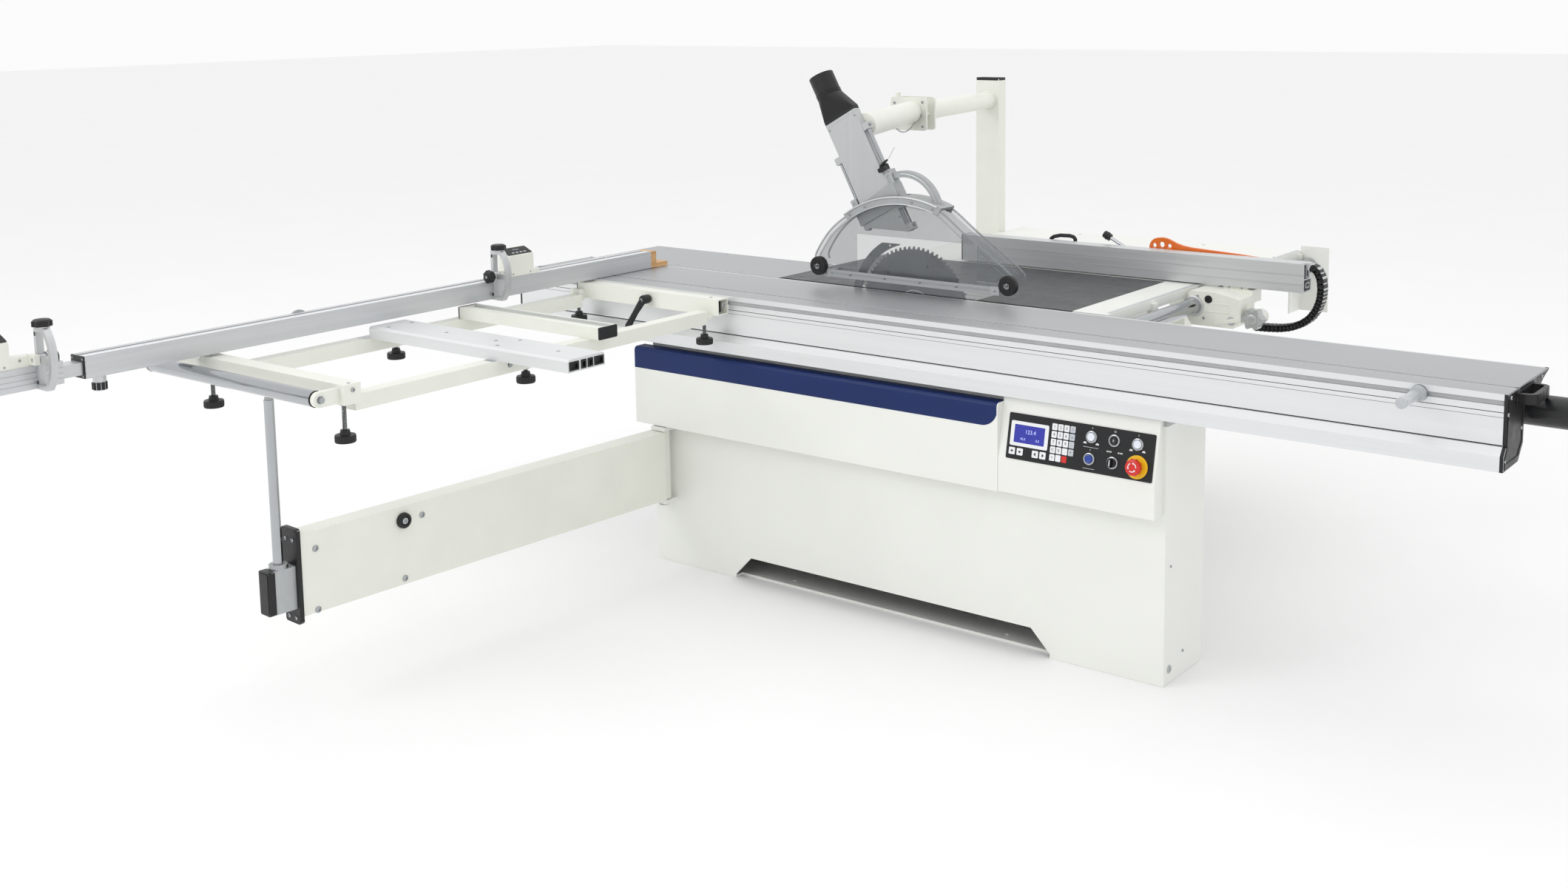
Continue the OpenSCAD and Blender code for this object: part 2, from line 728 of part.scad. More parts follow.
module frame_cross_bar() {
    z = rail_z1 + 0.2;
    color("silver") difference() {
        box(-1115, -318, cross_y0, cross_y1, z, z + 34.8);
        along_x(-1120, -300) {
            translate([cross_y0 - 1, z + 28.8]) polygon([[0, 7], [8, 7], [0, -1]]);
            translate([cross_y1 + 1, z + 28.8]) polygon([[0, 7], [-8, 7], [0, -1]]);
            for (y = [cross_y0 + 4, cross_y0 + 46, cross_y0 + 70, cross_y0 + 94])
                translate([y, z + 4]) square([y < cross_y0 + 10 || y > cross_y0 + 90 ? 35 : 20, 24]);
        }
    }
}
// Each screw: x, y, underside that it carries, height of the wheel's middle
SCREWS = [[-607, -376, bar_z0 - 7, 766], [-1150, -372, bar_z0 - 7, 780], [-607, -1115, rail_z0, 787],
    [-1140, -1125, rail_z0, 790], [-1140, -1725, bar_z0, 768], [-590, -1725, bar_z0, 758]];
module levelling_screws() {
    color("dimgray") for (s = SCREWS) {
        rod_z(s[0], s[1], s[3] - 8, s[2] - 0.2, 5.5);
        rod_z(s[0], s[1], s[3] - 10, s[3] + 8, 25);
        rod_z(s[0], s[1], s[3] + 8, s[3] + 20, 11);
    }
}
module frame_roller() {
    color("silver") {
        rod_x(-1290, -595, roller_y, roller_z, roller_r);
        rod_x(-1307, -579, roller_y, roller_z, 8);
    }
}
module clamp_lever() {
    color("black") {
        rod_y(-842, inner_y0 - 36, inner_y0 - 6, 872, 12);
        rod_y(-842, inner_y0 - 10, inner_y0 + 25, 872, 6);
        strut([-842, inner_y0 - 28, 872], [-890, inner_y0 - 50, 785], 7);
    }
}
module support_bar() {
    z = rail_z1 + 0.2;
    color("white") difference() {
        box(-1133, -553, bar_y0, bar_y1, z, z + 34.8);
        box(-1128, -558, bar_y0 + 22, bar_y1 - 12, z + 10, z + 40);
    }
}

// ---- crosscut fence ------------------------------------------------------
module fence_profile() {
    difference() {
        translate([fence_x0, fence_z0]) square([fence_w, fence_h]);
        translate([fence_x0 + 8, fence_z0 + 9]) square([fence_w - 14, 33]);
        translate([fence_x - 10, fence_z1 - 4]) square([10, 5]);
        translate([fence_x - 14, fence_z1 - 11]) square([18, 7.1]);
        for (z = [14, 26, 40]) translate([fence_x1 - 1.5, fence_z0 + z]) square([3, 2]);
    }
}
module crosscut_fence() {
    color("lightgray") difference() {
        union() {
            along_y(fence_y0, fence_y1) fence_profile();
            box(fence_x0, fence_x1 - 2, slot_y - 20, slot_y + 20, fence_z0 + 4, fence_z0 + 44);
        }
        rod_z(fence_x, slot_y, fence_z0 - 1, fence_z0 + 34, 10 + fit);
    }
    color("black") rod_z(fence_x, -2030, fence_z0 - 40, fence_z0 - 0.1, 16);
}
module fence_wood_block() {
    color("burlywood") {
        box(fence_x0, fence_x1, fence_y1 + 0.1, -28, fence_z0, fence_z1 - 1);
        box(fence_x0, fence_x1, -28.1, 28, fence_z0 - 1, fence_z0 + 14);
    }
}
module fence_extension() {
    color("lightgray") {
        along_y(ext_y1 - ext_len, ext_y1) fence_profile();
        box(fence_x0 + 9, fence_x1 - 7, ext_y1 - 20, -1300, fence_z0 + 10, fence_z0 + 41);
        box(fence_x0 + 4, fence_x1 - 3, ext_y1 - ext_len, ext_y1 - ext_len + 4, fence_z0 + 2,
            fence_z1 - 2);
    }
}
// A flip stop's readout box: y is the face towards the D frame, dir its side of it
module stop_box(y, dir) {
    y0 = dir > 0 ? y : y - 185;
    box_y0 = dir > 0 ? y + 60 : y - 160;
    difference() {
        union() {
            along_y(box_y0, box_y0 + 100) polygon([[-1172, fence_z1 + 0.4],
                [-1123, fence_z1 + 0.4], [-1123, 1023], [-1168, 1043], [-1172, 1043]]);
            box(-1160, -1124, dir > 0 ? y : y - 60, dir > 0 ? y + 60 : y, fence_z1 + 0.4, 984);
            box(-1166, -1126, y0, y0 + 185, fence_z1 + 0.4, 972);
            box(-1134, -1098, dir > 0 ? y : y - 14, dir > 0 ? y + 14 : y, 963, 987);
            box(fence_x - 9.7, fence_x - 0.3, y0 + 5, y0 + 180, fence_z1 - 3, fence_z1 + 1);
        }
        rod_y(stop_x, y - 30, y + 30, stop_z, 6 + fit);
    }
}
// The D-shaped flip frame between y and y + 18, hinged on a pin along Y
module stop_flip(y, pin0, pin1, z_top) {
    x0 = fence_x1 + 0.5;
    z0 = table_h + 1;
    along_y(y, y + 18) difference() {
        intersection() {
            translate([x0 - 42, (z0 + z_top) / 2]) circle(115, $fn = 96);
            translate([x0, z0]) square([73, z_top - z0]);
        }
        difference() {
            intersection() {
                translate([x0 - 42, (z0 + z_top) / 2]) circle(104, $fn = 96);
                translate([x0 + 11, z0 + 11]) square([60, z_top - z0 - 22]);
            }
            translate([x0, stop_z - 8]) square([80, 16]);
        }
    }
    rod_y(stop_x, y, y + 18, stop_z, 12);
    rod_y(stop_x, pin0, pin1, stop_z, 6);
    rod_y(stop_x, y - 24, y - 1, stop_z, 15.5);
    rod_y(stop_x, y - 2, y + 1, stop_z, 9);
    rod_z(x0 + 26, y + 9, z_top - 1, z_top + 18, 18);
}
module stop_box_1() { color("whitesmoke") stop_box(-749.5, 1); }
module stop_flip_1() { color("silver") stop_flip(-768, -768, -738, 1053); }
module stop_box_2() { color("whitesmoke") stop_box(-2204.5, -1); }
module stop_flip_2() {
    color("silver") translate([0, -4384, 0]) mirror([0, 1, 0]) stop_flip(-2198, -2198, -2168, 1053);
}

// ---- swinging support arm ------------------------------------------------
module in_arm() {
    translate([arm_x, arm_y, 0]) rotate([0, 0, arm_angle]) mirror([0, 1, 0]) children();
}
module swing_arm() {
    color("whitesmoke") in_arm() difference() {
        union() {
            box(-arm_w / 2, arm_w / 2, 16, arm_len, arm_z0, arm_z1);
            rod_z(0, 0, arm_z0, arm_z1, 24);
            box(-arm_w / 2 - 3, arm_w / 2 + 3, arm_len, arm_len + 8, arm_z0 - 15, arm_z1 + 12);
        }
        rod_z(0, 0, arm_z0 - 1, arm_z1 + 1, 12 + fit);
        box(-arm_w / 2 + 4, arm_w / 2 - 4, 60, arm_len - 20, arm_z0 + 4, arm_z1 - 4);
        box(-tube_w / 2 - 1, tube_w / 2 + 1, 60, arm_len + 9, tube_z0 - 1, tube_z1 + 1);
    }
}
module arm_tube() {
    color("gainsboro") in_arm() difference() {
        union() {
            box(-tube_w / 2, tube_w / 2, 480, 1413, tube_z0, tube_z1);
            rod_z(0, post_at, tube_z1 - 1, tube_z1 + 12, 24);
        }
        box(-tube_w / 2 + 4, tube_w / 2 - 4, 479, 1405, tube_z0 + 4, tube_z1 - 4);
    }
    // Chrome post under the frame's outer bar
    color("silver") in_arm() {
        rod_z(0, post_at, tube_z1 - 4, post_top - 6, post_r);
        rod_z(0, post_at, post_top - 6.1, post_top, post_r - 2);
    }
}

// ---- saw unit ------------------------------------------------------------
module tilt_frame() {
    color("dimgray") {
        for (s = [[-349.7, -335, -366, -335], [100, 115, 100, 131]]) {
            along_x(s[0], s[1]) polygon([[120, 465], [180, 465], [180, 560], [330, 735], [300, 760],
                [180, 800], [180, 886], [120, 886]]);
            along_x(s[2], s[3]) trunnion_arc(305, 329.7, 10, 60);
        }
        box(-340, 105, 125, 168, 465, 485);
        box(-340, way_xl + 18, 125, 175, 870, 886);
        box(way_xr - 18, 105, 125, 175, 870, 886);
        box(114, 120, 125, 175, 780, 880);
    }
    color("silver") for (x = [way_xl, way_xr]) rod_z(x, way_y, 466, 885, way_r);
}
module saw_head() {
    housing_r = 40;
    color("slategray") difference() {
        union() {
            rod_y(blade_x, 60, 225, blade_z, housing_r);
            for (x = [way_xl, way_xr]) rod_z(x, way_y, 640, 800, 25);
            box(way_xl, way_xr, 135, 175, 660, 780);
            box(blade_x - 40, blade_x + 40, 110, 190, 760, blade_z);
            box(-330, -296, 40, 136, 700, 760);
            for (x = [-232, -8]) box(x, x + 20, 170, 280, 560, 700);
            box(-232, 12, 264, 279.8, 520, 702);
        }
        rod_y(blade_x, 50, 230, blade_z, arbor_r + fit);
        for (x = [way_xl, way_xr]) rod_z(x, way_y, 630, 810, way_r + fit);
        rod_y(blade_x, 250, 300, motor_z, 50);
        rod_y(-318, 39, 44.2, 730, 4 + fit);
    }
}
module drive_motor() {
    color("midnightblue") difference() {
        union() {
            rod_y(blade_x, 280, 500, motor_z, motor_r - 5);
            for (i = [0:11]) translate([blade_x, 300, motor_z]) rotate([0, i * 30 + 15, 0])
                translate([motor_r - 8, 0, -2]) cube([8, 180, 4]);
            rod_y(blade_x, 500, 520, motor_z, motor_r);
            box(blade_x - 45, blade_x + 45, 340, 430, motor_z - 110, motor_z - 70);
        }
        rod_y(blade_x, 279, 330, motor_z, 12 + fit);
    }
}
module belt_outline(grow) {
    hull() {
        translate([blade_x, blade_z]) circle(arbor_pulley_r + grow, $fn = 48);
        translate([blade_x, motor_z]) circle(motor_pulley_r + grow, $fn = 48);
    }
}
module drive_belt() {
    color("black") along_y(pulley_y0 + 6, pulley_y1 - 6) difference() {
        belt_outline(4);
        belt_outline(0.4);
    }
}
module riving_knife() {
    color("silver") along_y(36.5, 39.5) difference() {
        union() {
            intersection() {
                difference() {
                    translate([blade_x, blade_z]) circle(236, $fn = 128);
                    translate([blade_x, blade_z]) circle(207, $fn = 128);
                }
                polygon([[-165, 1048], [-600, 1048], [-600, 800], [-300, 800], [-165, 900]]);
            }
            translate([-342, 705]) square([22, 110]);
        }
        translate([-201, 1041]) circle(4, $fn = round_fn);
    }
    color("silver") rod_y(-318, 39.4, 44, 730, 4);
}
module saw_arbor() {
    color("gray") {
        rod_y(blade_x, 22.4, pulley_y1, blade_z, arbor_r);
        rod_y(blade_x, blade_y + kerf / 2, 52, blade_z, 40);
        rod_y(blade_x, 31.4, blade_y - kerf / 2, blade_z, 30);
        translate([blade_x, 22.4, blade_z]) rotate([-90, 0, 0]) cylinder(h = 9, r = 14, $fn = 6);
        rod_y(blade_x, pulley_y0, pulley_y1, blade_z, arbor_pulley_r);
    }
}
module saw_blade() {
    r = blade_d / 2;
    step = 360 / teeth;
    color("silver") along_y(blade_y - kerf / 2 + 0.02, blade_y + kerf / 2 - 0.02)
        translate([blade_x, blade_z]) difference() {
            polygon([for (i = [0:teeth - 1], p = [[0, r], [0.28, r - 0.6], [0.5, r - 9], [0.9, r - 9]])
                let (a = (i + p[0]) * step) [p[1] * cos(a), p[1] * sin(a)]]);
            circle(arbor_r + 0.02, $fn = round_fn);
        }
}
module motor_pulley() {
    color("gray") {
        rod_y(blade_x, pulley_y0, pulley_y1, motor_z, motor_pulley_r);
        rod_y(blade_x, pulley_y1 - 1, 325, motor_z, 12);
    }
}
module scoring_motor() {
    color("slategray") difference() {
        union() {
            rod_y(score_x, 62, 230, score_z, 42);
            box(120.3, 150, 127, 173, 800, 860);
        }
        rod_y(score_x, 50, 110, score_z, 8 + fit);
    }
}
module scoring_blade() {
    step = 360 / 24;
    color("silver") {
        along_y(36.8, 39.2) translate([score_x, score_z]) polygon([for (i = [0:23],
            p = [[0, score_r], [0.4, score_r - 1], [0.6, score_r - 6]])
            let (a = (i + p[0]) * step) [p[1] * cos(a), p[1] * sin(a)]]);
        rod_y(score_x, 31, 100, score_z, 8);
        rod_y(score_x, 39, 50, score_z, 22);
        rod_y(score_x, 32, 37, score_z, 18);
    }
}

// ---- rip fence -----------------------------------------------------------
module rip_carriage() {
    color("whitesmoke") difference() {
        union() {
            along_y(548, 648) polygon([[553, 812], [553, 890], [562, 899], [640, 899], [720, 884],
                [720, 812], [700, 794], [566, 794]]);
            box(600, 720, 640, 660, 800, 899);
            box(600, 720, 660, 712, 860, 899);
            box(620, 700, 655, 705, 898, rip_z0 - 0.4);
            rod_y(knob_x, 600, 640, knob_z, 22);
            box(700, knob_x, 600, 640, knob_z - 20, knob_z + 20);
        }
        rod_y(rip_x, 540, 660, rip_z, rip_bar_r + fit);
        rod_y(knob_x, 590, 630, knob_z, 8 + fit);
    }
}
// Middle line of the cable chain, from the carriage to the end of the fence
CHAIN = [[722, 783], [760, 784], [800, 787], [834, 794], [866, 808], [892, 828], [911, 855],
    [922, 886], [925, 920], [921, 952], [908, 976], [884, 985]];
function chain_across(i) =
    let (d = CHAIN[min(i + 1, len(CHAIN) - 1)] - CHAIN[max(i - 1, 0)]) [-d[1], d[0]] / norm(d);
function chain_side(w, order) = [for (i = order) CHAIN[i] + w * chain_across(i)];
module rip_profile() {
    color("lightgray") along_x(rip_x1 - rip_len, rip_x1) translate([rip_y, rip_z0]) difference() {
        square([60, rip_h]);
        translate([4, 4]) square([52, 34]);
        translate([4, 42]) square([40, rip_h - 46]);
        translate([50, 60]) square([11, 8]);
        translate([48, 54]) square([6, 20]);
        for (z = [22, 50]) translate([-1, z]) square([2.5, 3]);
    }
    // Foot that holds the chain's upper end
    color("black") {
        box(rip_x1 - 12, rip_x1 + 14, 665, 689, rip_z0 + rip_h - 0.1, rip_z0 + rip_h + 2);
        box(rip_x1 + 0.1, rip_x1 + 14, 665, 689, 976, rip_z0 + rip_h + 2);
        along_y(661, 693) polygon(concat(chain_side(9.5, [0:1:len(CHAIN) - 1]),
            chain_side(-9.5, [len(CHAIN) - 1:-1:0])));
    }
}
module rip_knob() {
    color("silver") {
        rod_y(knob_x, 560, 599.6, knob_z, 24);
        for (i = [0:5]) rod_y(knob_x + 22 * cos(i * 60), 562, 596, knob_z + 22 * sin(i * 60), 9);
        rod_y(knob_x, 598, 629, knob_z, 8);
    }
}
module rip_lever() {
    color("black") {
        rod_y(282, rip_y + 60.4, rip_y + 72, 972, 11);
        strut([282, rip_y + 67, 972], [190, rip_y + 74.6, 1016], 5);
        strut([196.8, rip_y + 74.1, 1012.8], [175.2, rip_y + 75.9, 1023.2], 12);
    }
}
module push_stick() {
    y = rip_y + 76;
    color("orange") along_y(y, y + 10) {
        polygon([[334, 992], [340, 1012], [360, 1025], [396, 1025], [440, 1008], [480, 1002],
            [698, 990], [702, 981], [480, 984], [420, 972], [376, 966], [346, 976]]);
    }
    color("orange") box(400, 420, rip_y + 60.3, y, 986, 1000);
}

base_cabinet();
bed_rail();
guide_tube();
front_cover();
control_box();
control_panel();
saw_table();
table_insert();
outfeed_table();
side_table();
rip_bar();
support_posts();
guard_boom();
guard_duct();
duct_nozzle();
carriage_beam();
carriage_end_caps();
frame_bars();
frame_rails();
frame_cross_bar();
levelling_screws();
push_handle();
frame_roller();
clamp_lever();
support_bar();
roller_cage();
crosscut_fence();
fence_wood_block();
fence_extension();
stop_box_1();
stop_flip_1();
stop_box_2();
stop_flip_2();
swing_arm();
arm_tube();
tilt_frame();
saw_head();
drive_motor();
drive_belt();
riving_knife();
saw_arbor();
saw_blade();
motor_pulley();
scoring_motor();
scoring_blade();
rip_carriage();
rip_profile();
rip_knob();
rip_lever();
push_stick();
hood_shell();
hood_frame();
hood_wheel_front();
hood_wheel_rear();
button_start();
button_scoring();
button_stop();
button_reset();
estop_button();
selector_switch();
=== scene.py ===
import math

import bmesh
import bpy
from mathutils import Matrix, Vector


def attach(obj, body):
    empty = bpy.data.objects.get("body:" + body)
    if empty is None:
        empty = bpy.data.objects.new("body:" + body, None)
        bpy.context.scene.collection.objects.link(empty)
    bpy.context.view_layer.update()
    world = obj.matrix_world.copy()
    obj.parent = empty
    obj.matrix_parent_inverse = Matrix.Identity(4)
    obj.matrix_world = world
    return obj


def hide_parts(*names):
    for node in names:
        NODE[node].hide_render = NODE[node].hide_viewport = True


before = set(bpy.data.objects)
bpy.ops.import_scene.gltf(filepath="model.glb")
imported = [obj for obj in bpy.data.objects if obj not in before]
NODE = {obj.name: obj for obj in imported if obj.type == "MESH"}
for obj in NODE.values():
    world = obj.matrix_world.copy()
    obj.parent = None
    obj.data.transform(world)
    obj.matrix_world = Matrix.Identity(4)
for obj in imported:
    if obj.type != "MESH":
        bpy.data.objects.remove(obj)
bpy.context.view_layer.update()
scene = bpy.context.scene
S, C = math.sin, math.cos
TAU = 2 * math.pi


# ---------------------------------------------------------------- materials
def lin(r, g, b):
    """sRGB 0-255 to linear."""
    return tuple(v / 12.92 if v <= 0.04045 else ((v + 0.055) / 1.055) ** 2.4 for v in (r / 255, g / 255, b / 255))


def node(nt, kind, **inputs):
    """New shader node with its input values."""
    n = nt.nodes.new("ShaderNode" + kind)
    for key, value in inputs.items():
        n.inputs[key.replace("_", " ")].default_value = value
    return n


def noise(nt, stretch, **inputs):
    """Noise over object space, stretched along the axes by one number or three."""
    place = node(nt, "Mapping", Scale=stretch if hasattr(stretch, "__len__") else (stretch,) * 3)
    n = node(nt, "TexNoise", **inputs)
    nt.links.new(node(nt, "TexCoord").outputs["Object"], place.inputs["Vector"])
    nt.links.new(place.outputs["Vector"], n.inputs["Vector"])
    return n.outputs["Fac"]


def ramp(nt, fac, lo, hi, start=0.3, end=0.7):
    """Colour from lo to hi as fac goes from start to end."""
    n = node(nt, "ValToRGB")
    for e, at, rgb in zip(n.color_ramp.elements, (start, end), (lo, hi)):
        e.position, e.color = at, (*rgb, 1)
    nt.links.new(fac, n.inputs["Fac"])
    return n.outputs["Color"]


def relief(nt, height, strength, dist, below=None):
    """Bump from a height, on top of another bump's normal."""
    n = node(nt, "Bump", Strength=strength, Distance=dist)
    nt.links.new(height, n.inputs["Height"])
    if below:
        nt.links.new(below, n.inputs["Normal"])
    return n.outputs["Normal"]


def blank(name):
    """New material with its node tree and Principled shader."""
    m = bpy.data.materials.new(name)
    m.use_nodes = True
    return m, m.node_tree, m.node_tree.nodes["Principled BSDF"].inputs


def material(
    name, rgb, rough, metallic=0.0, var=0.05, rvar=0.06, grain=30, bump=0.08, fine=900,
    dist=0.0004, coat=0.0, spec=0.5, transmission=0.0, alpha=1.0, emit=None, ribs=None,
):
    """Principled material with object-space variation of colour, roughness and height."""
    m, nt, p = blank(name)
    for key, value in (("Metallic", metallic), ("IOR", 1.45), ("Specular IOR Level", spec), ("Coat Weight", coat),
                       ("Coat Roughness", 0.12), ("Transmission Weight", transmission), ("Alpha", alpha)):
        p[key].default_value = value
    if emit:
        p["Emission Color"].default_value = (*lin(*emit[:3]), 1)
        p["Emission Strength"].default_value = emit[3]
    cloud = noise(nt, grain, Scale=1.0, Detail=6)
    lo, hi = ([min(1, v * k) for v in lin(*rgb)] for k in (1 - var, 1 + var))
    colour = ramp(nt, cloud, lo, hi)
    gloss = node(nt, "MapRange", From_Min=0.3, From_Max=0.7, To_Min=max(0.02, rough - rvar),
                 To_Max=min(1, rough + rvar))
    nt.links.new(cloud, gloss.inputs["Value"])
    nt.links.new(gloss.outputs["Result"], p["Roughness"])
    below = None
    if ribs:
        axis, pitch, depth, dark = ribs
        wave = node(nt, "TexWave", Scale=TAU / pitch / 20, Distortion=0)
        wave.wave_type, wave.bands_direction = "BANDS", axis
        nt.links.new(node(nt, "TexCoord").outputs["Object"], wave.inputs["Vector"])
        below = relief(nt, wave.outputs["Fac"], depth, 0.0004)
        mix = nt.nodes.new("ShaderNodeMix")
        mix.data_type = "RGBA"
        nt.links.new(wave.outputs["Fac"], mix.inputs[0])
        mix.inputs[6].default_value = (*lin(*dark), 1)
        nt.links.new(colour, mix.inputs[7])
        colour = mix.outputs[2]
    nt.links.new(colour, p["Base Color"])
    nt.links.new(relief(nt, noise(nt, fine, Scale=1.0, Detail=3), bump, dist, below), p["Normal"])
    return m


def brushed(name, rgb, rough, axis="x", metallic=1.0, **k):
    """Metal with a fine grain along one axis."""
    grain, fine = ([lo if a == axis else hi for a in "xyz"] for lo, hi in ((1.5, 90), (6, 1400)))
    return material(name, rgb, rough, metallic, grain=grain, fine=fine, **{"bump": 0.12, "dist": 0.0002, **k})


WHITE = material("powder_coat", (233, 234, 229), 0.38, var=0.015, rvar=0.05, grain=4, bump=0.16,
                 fine=700, dist=0.0003, coat=0.12)
WHITE2 = material("powder_coat_frame", (230, 231, 222), 0.34, var=0.02, grain=9, bump=0.16,
                  fine=700, dist=0.0003, coat=0.15)
BLUE = material("navy_stripe", (14, 38, 92), 0.4, var=0.05, grain=8, bump=0.1, fine=700,
                dist=0.0003, spec=0.35)
BED = material("bed_paint", (176, 178, 178), 0.5, var=0.06, bump=0.2)
ALU = brushed("anodised_aluminium", (222, 224, 225), 0.4, "x", metallic=0.45, var=0.02, bump=0.06)
# darker anodised tone; laid over the carriage's top it is painted shade
ALU_TOP = brushed("anodised_top", (176, 178, 180), 0.45, "x", metallic=0.6, var=0.04)
ALU_Y = brushed("anodised_fence", (204, 206, 208), 0.4, "y", metallic=0.6, var=0.03, bump=0.06)
ALU_RIP = brushed("anodised_rip", (204, 206, 207), 0.42, "x", metallic=0.5, var=0.02, bump=0.03)
CAST = brushed("cast_aluminium", (200, 202, 203), 0.42, "z", metallic=0.8, var=0.05, bump=0.3)
DUCT = brushed("duct_metal", (190, 192, 193), 0.4, "z", metallic=0.5, var=0.03)
CROWN = material("crown_casting", (172, 175, 176), 0.42, metallic=0.5, var=0.05, bump=0.2)
CHROME = material("chrome", (176, 179, 182), 0.14, metallic=1.0, var=0.02, rvar=0.03, bump=0.03)
STEEL = material("zinc_steel", (172, 175, 178), 0.28, metallic=1.0, var=0.06, grain=160, bump=0.1)
IRON = material("ribbed_cast_iron", (92, 94, 97), 0.42, metallic=0.55, var=0.08, grain=25, bump=0.25,
                fine=1200, ribs=("Y", 0.006, 0.9, (44, 45, 48)))
DARK_IRON = material("painted_casting", (70, 74, 80), 0.55, metallic=0.2, var=0.1, bump=0.5, fine=400)
INSERT = brushed("insert_plate", (150, 152, 154), 0.35, "x", metallic=0.9, var=0.04)
BLACK = material("black_plastic", (22, 22, 24), 0.42, var=0.12, grain=60, bump=0.25,
                 fine=1500, dist=0.0002)
TUBE = material("black_tube", (26, 27, 29), 0.3, var=0.1, grain=(3, 50, 50), bump=0.1, coat=0.2)
RUBBER = material("belt_rubber", (18, 18, 18), 0.75, var=0.15, bump=0.4)
PANEL = material("panel_film", (17, 18, 21), 0.33, var=0.1, bump=0.12, fine=1600, dist=0.0001)
KEY = material("white_keys", (232, 233, 236), 0.4, var=0.02, bump=0.08)
KEY_GREY = material("grey_keys", (190, 194, 202), 0.4, var=0.03, bump=0.08)
INK = material("ink", (30, 32, 40), 0.5, var=0.05, bump=0.02)
LEGEND = material("white_legend", (225, 226, 228), 0.5, var=0.02, bump=0.02)
RED = material("red_plastic", (206, 32, 24), 0.28, var=0.05, bump=0.05, coat=0.3)
YELLOW = material("yellow_ring", (240, 190, 30), 0.4, var=0.04, bump=0.05)
BLUE_BTN = material("blue_button", (24, 60, 150), 0.25, var=0.05, bump=0.05, coat=0.3)
WHITE_BTN = material("white_button", (225, 230, 240), 0.25, var=0.02, bump=0.04, coat=0.3)
LCD = material("lcd", (44, 50, 150), 0.25, var=0.08, grain=60, bump=0.02, emit=(50, 56, 160, 0.2))
LCD_INK = material("lcd_segments", (190, 196, 250), 0.3, var=0.02, bump=0.01, emit=(190, 196, 250, 0.3))
ORANGE = material("orange_plastic", (226, 112, 34), 0.33, var=0.05, bump=0.06, coat=0.2)
MOTOR = material("motor_paint", (44, 58, 84), 0.45, var=0.08, bump=0.3)
BLADE = material("blade_steel", (128, 130, 133), 0.3, metallic=1.0, var=0.1, grain=12, bump=0.08)
CARBIDE = material("carbide", (190, 190, 188), 0.25, metallic=1.0, var=0.05, bump=0.05)
CLEAR = material("clear_guard", (128, 133, 136), 0.1, var=0.03, rvar=0.03, grain=10, bump=0.02, alpha=0.2)
CLEAR_EDGE = material("clear_edge", (150, 155, 158), 0.2, var=0.03, bump=0.03, alpha=0.5)
HANDLE = material("clear_handle", (225, 228, 230), 0.12, var=0.03, bump=0.03, transmission=0.5, alpha=0.75)
GREY_PLASTIC = material("grey_plastic", (176, 179, 180), 0.42, var=0.05, bump=0.15)
# dark grey: the readout glass and chain pins in their own colour; in grooves, slots and flutes it is painted shade
DARK_GREY = material("dark_grey_and_painted_shade", (48, 49, 51), 0.6, var=0.1, bump=0.2)


def wood():
    """Beech with its grain along the fence."""
    m, nt, p = blank("beech")
    p["Roughness"].default_value = 0.55
    grain = noise(nt, (70, 6, 60), Scale=1.4, Detail=8, Distortion=0.4)
    nt.links.new(ramp(nt, grain, lin(190, 142, 92), lin(226, 186, 134), end=0.72), p["Base Color"])
    nt.links.new(relief(nt, grain, 0.2, 0.0004), p["Normal"])
    return m


WOOD = wood()
CAD = {
    WHITE: "base_cabinet front_cover control_box side_table",
    BED: "bed_rail",
    TUBE: "guide_tube",
    PANEL: "control_panel",
    IRON: "saw_table",
    INSERT: "table_insert",
    ALU_TOP: "outfeed_table",
    CHROME: "rip_bar frame_roller",
    WHITE2: "support_posts guard_boom frame_bars frame_rails "
            "support_bar stop_box_1 stop_box_2 swing_arm rip_carriage",
    DUCT: "guard_duct",
    BLACK: "duct_nozzle carriage_end_caps levelling_screws clamp_lever "
           "rip_lever hood_wheel_front hood_wheel_rear button_stop selector_switch",
    ALU: "carriage_beam frame_cross_bar",
    HANDLE: "push_handle",
    STEEL: "roller_cage saw_arbor motor_pulley",
    ALU_Y: "crosscut_fence fence_extension",
    WOOD: "fence_wood_block",
    CAST: "stop_flip_1 stop_flip_2 rip_knob",
    GREY_PLASTIC: "arm_tube",
    DARK_IRON: "tilt_frame saw_head scoring_motor",
    MOTOR: "drive_motor",
    RUBBER: "drive_belt",
    BLADE: "riving_knife saw_blade scoring_blade",
    ALU_RIP: "rip_profile",
    ORANGE: "push_stick",
    CLEAR: "hood_shell",
    CROWN: "hood_frame",
    WHITE_BTN: "button_start button_scoring",
    BLUE_BTN: "button_reset",
    RED: "estop_button",
}
for mat, names in CAD.items():
    for name in names.split():
        me = NODE[name].data
        me.materials.clear()
        me.materials.append(mat)


# ---------------------------------------------------------------- mesh helpers (millimetres)
def basis(o, x, y, z):
    """Matrix with its origin at o and the three axes given."""
    m = Matrix.Identity(4)
    for i, v in enumerate((x, y, z)):
        m[0][i], m[1][i], m[2][i] = v
    m.translation = Vector(o)
    return m


NEAR, FAR, LEFT, RIGHT, UP = (0, -1, 0), (0, 1, 0), (-1, 0, 0), (1, 0, 0), (0, 0, 1)
ALONG_X = basis((0, 0, 0), (0, 1, 0), (0, 0, 1), (1, 0, 0))      # outline (y, z), depth x
ALONG_Y = basis((0, 0, 0), (1, 0, 0), (0, 0, 1), (0, 1, 0))      # outline (x, z), depth y
ALONG_Z = Matrix.Identity(4)
LEAN = math.radians(11.31)                                       # of the control face
PANEL_AT = basis((0, -348, 556), (1, 0, 0), (0, S(LEAN), C(LEAN)), (0, -C(LEAN), S(LEAN)))
ARM, ARM_PIVOT = math.radians(-3.53), (-830, -335)               # the arm's turn from -Y, its pin's x, y
ARM_AT = basis((*ARM_PIVOT, 0), (C(ARM), S(ARM), 0), (S(ARM), -C(ARM), 0), (0, 0, 1))
DL = math.radians(28.6)                                          # the duct's lean towards -X
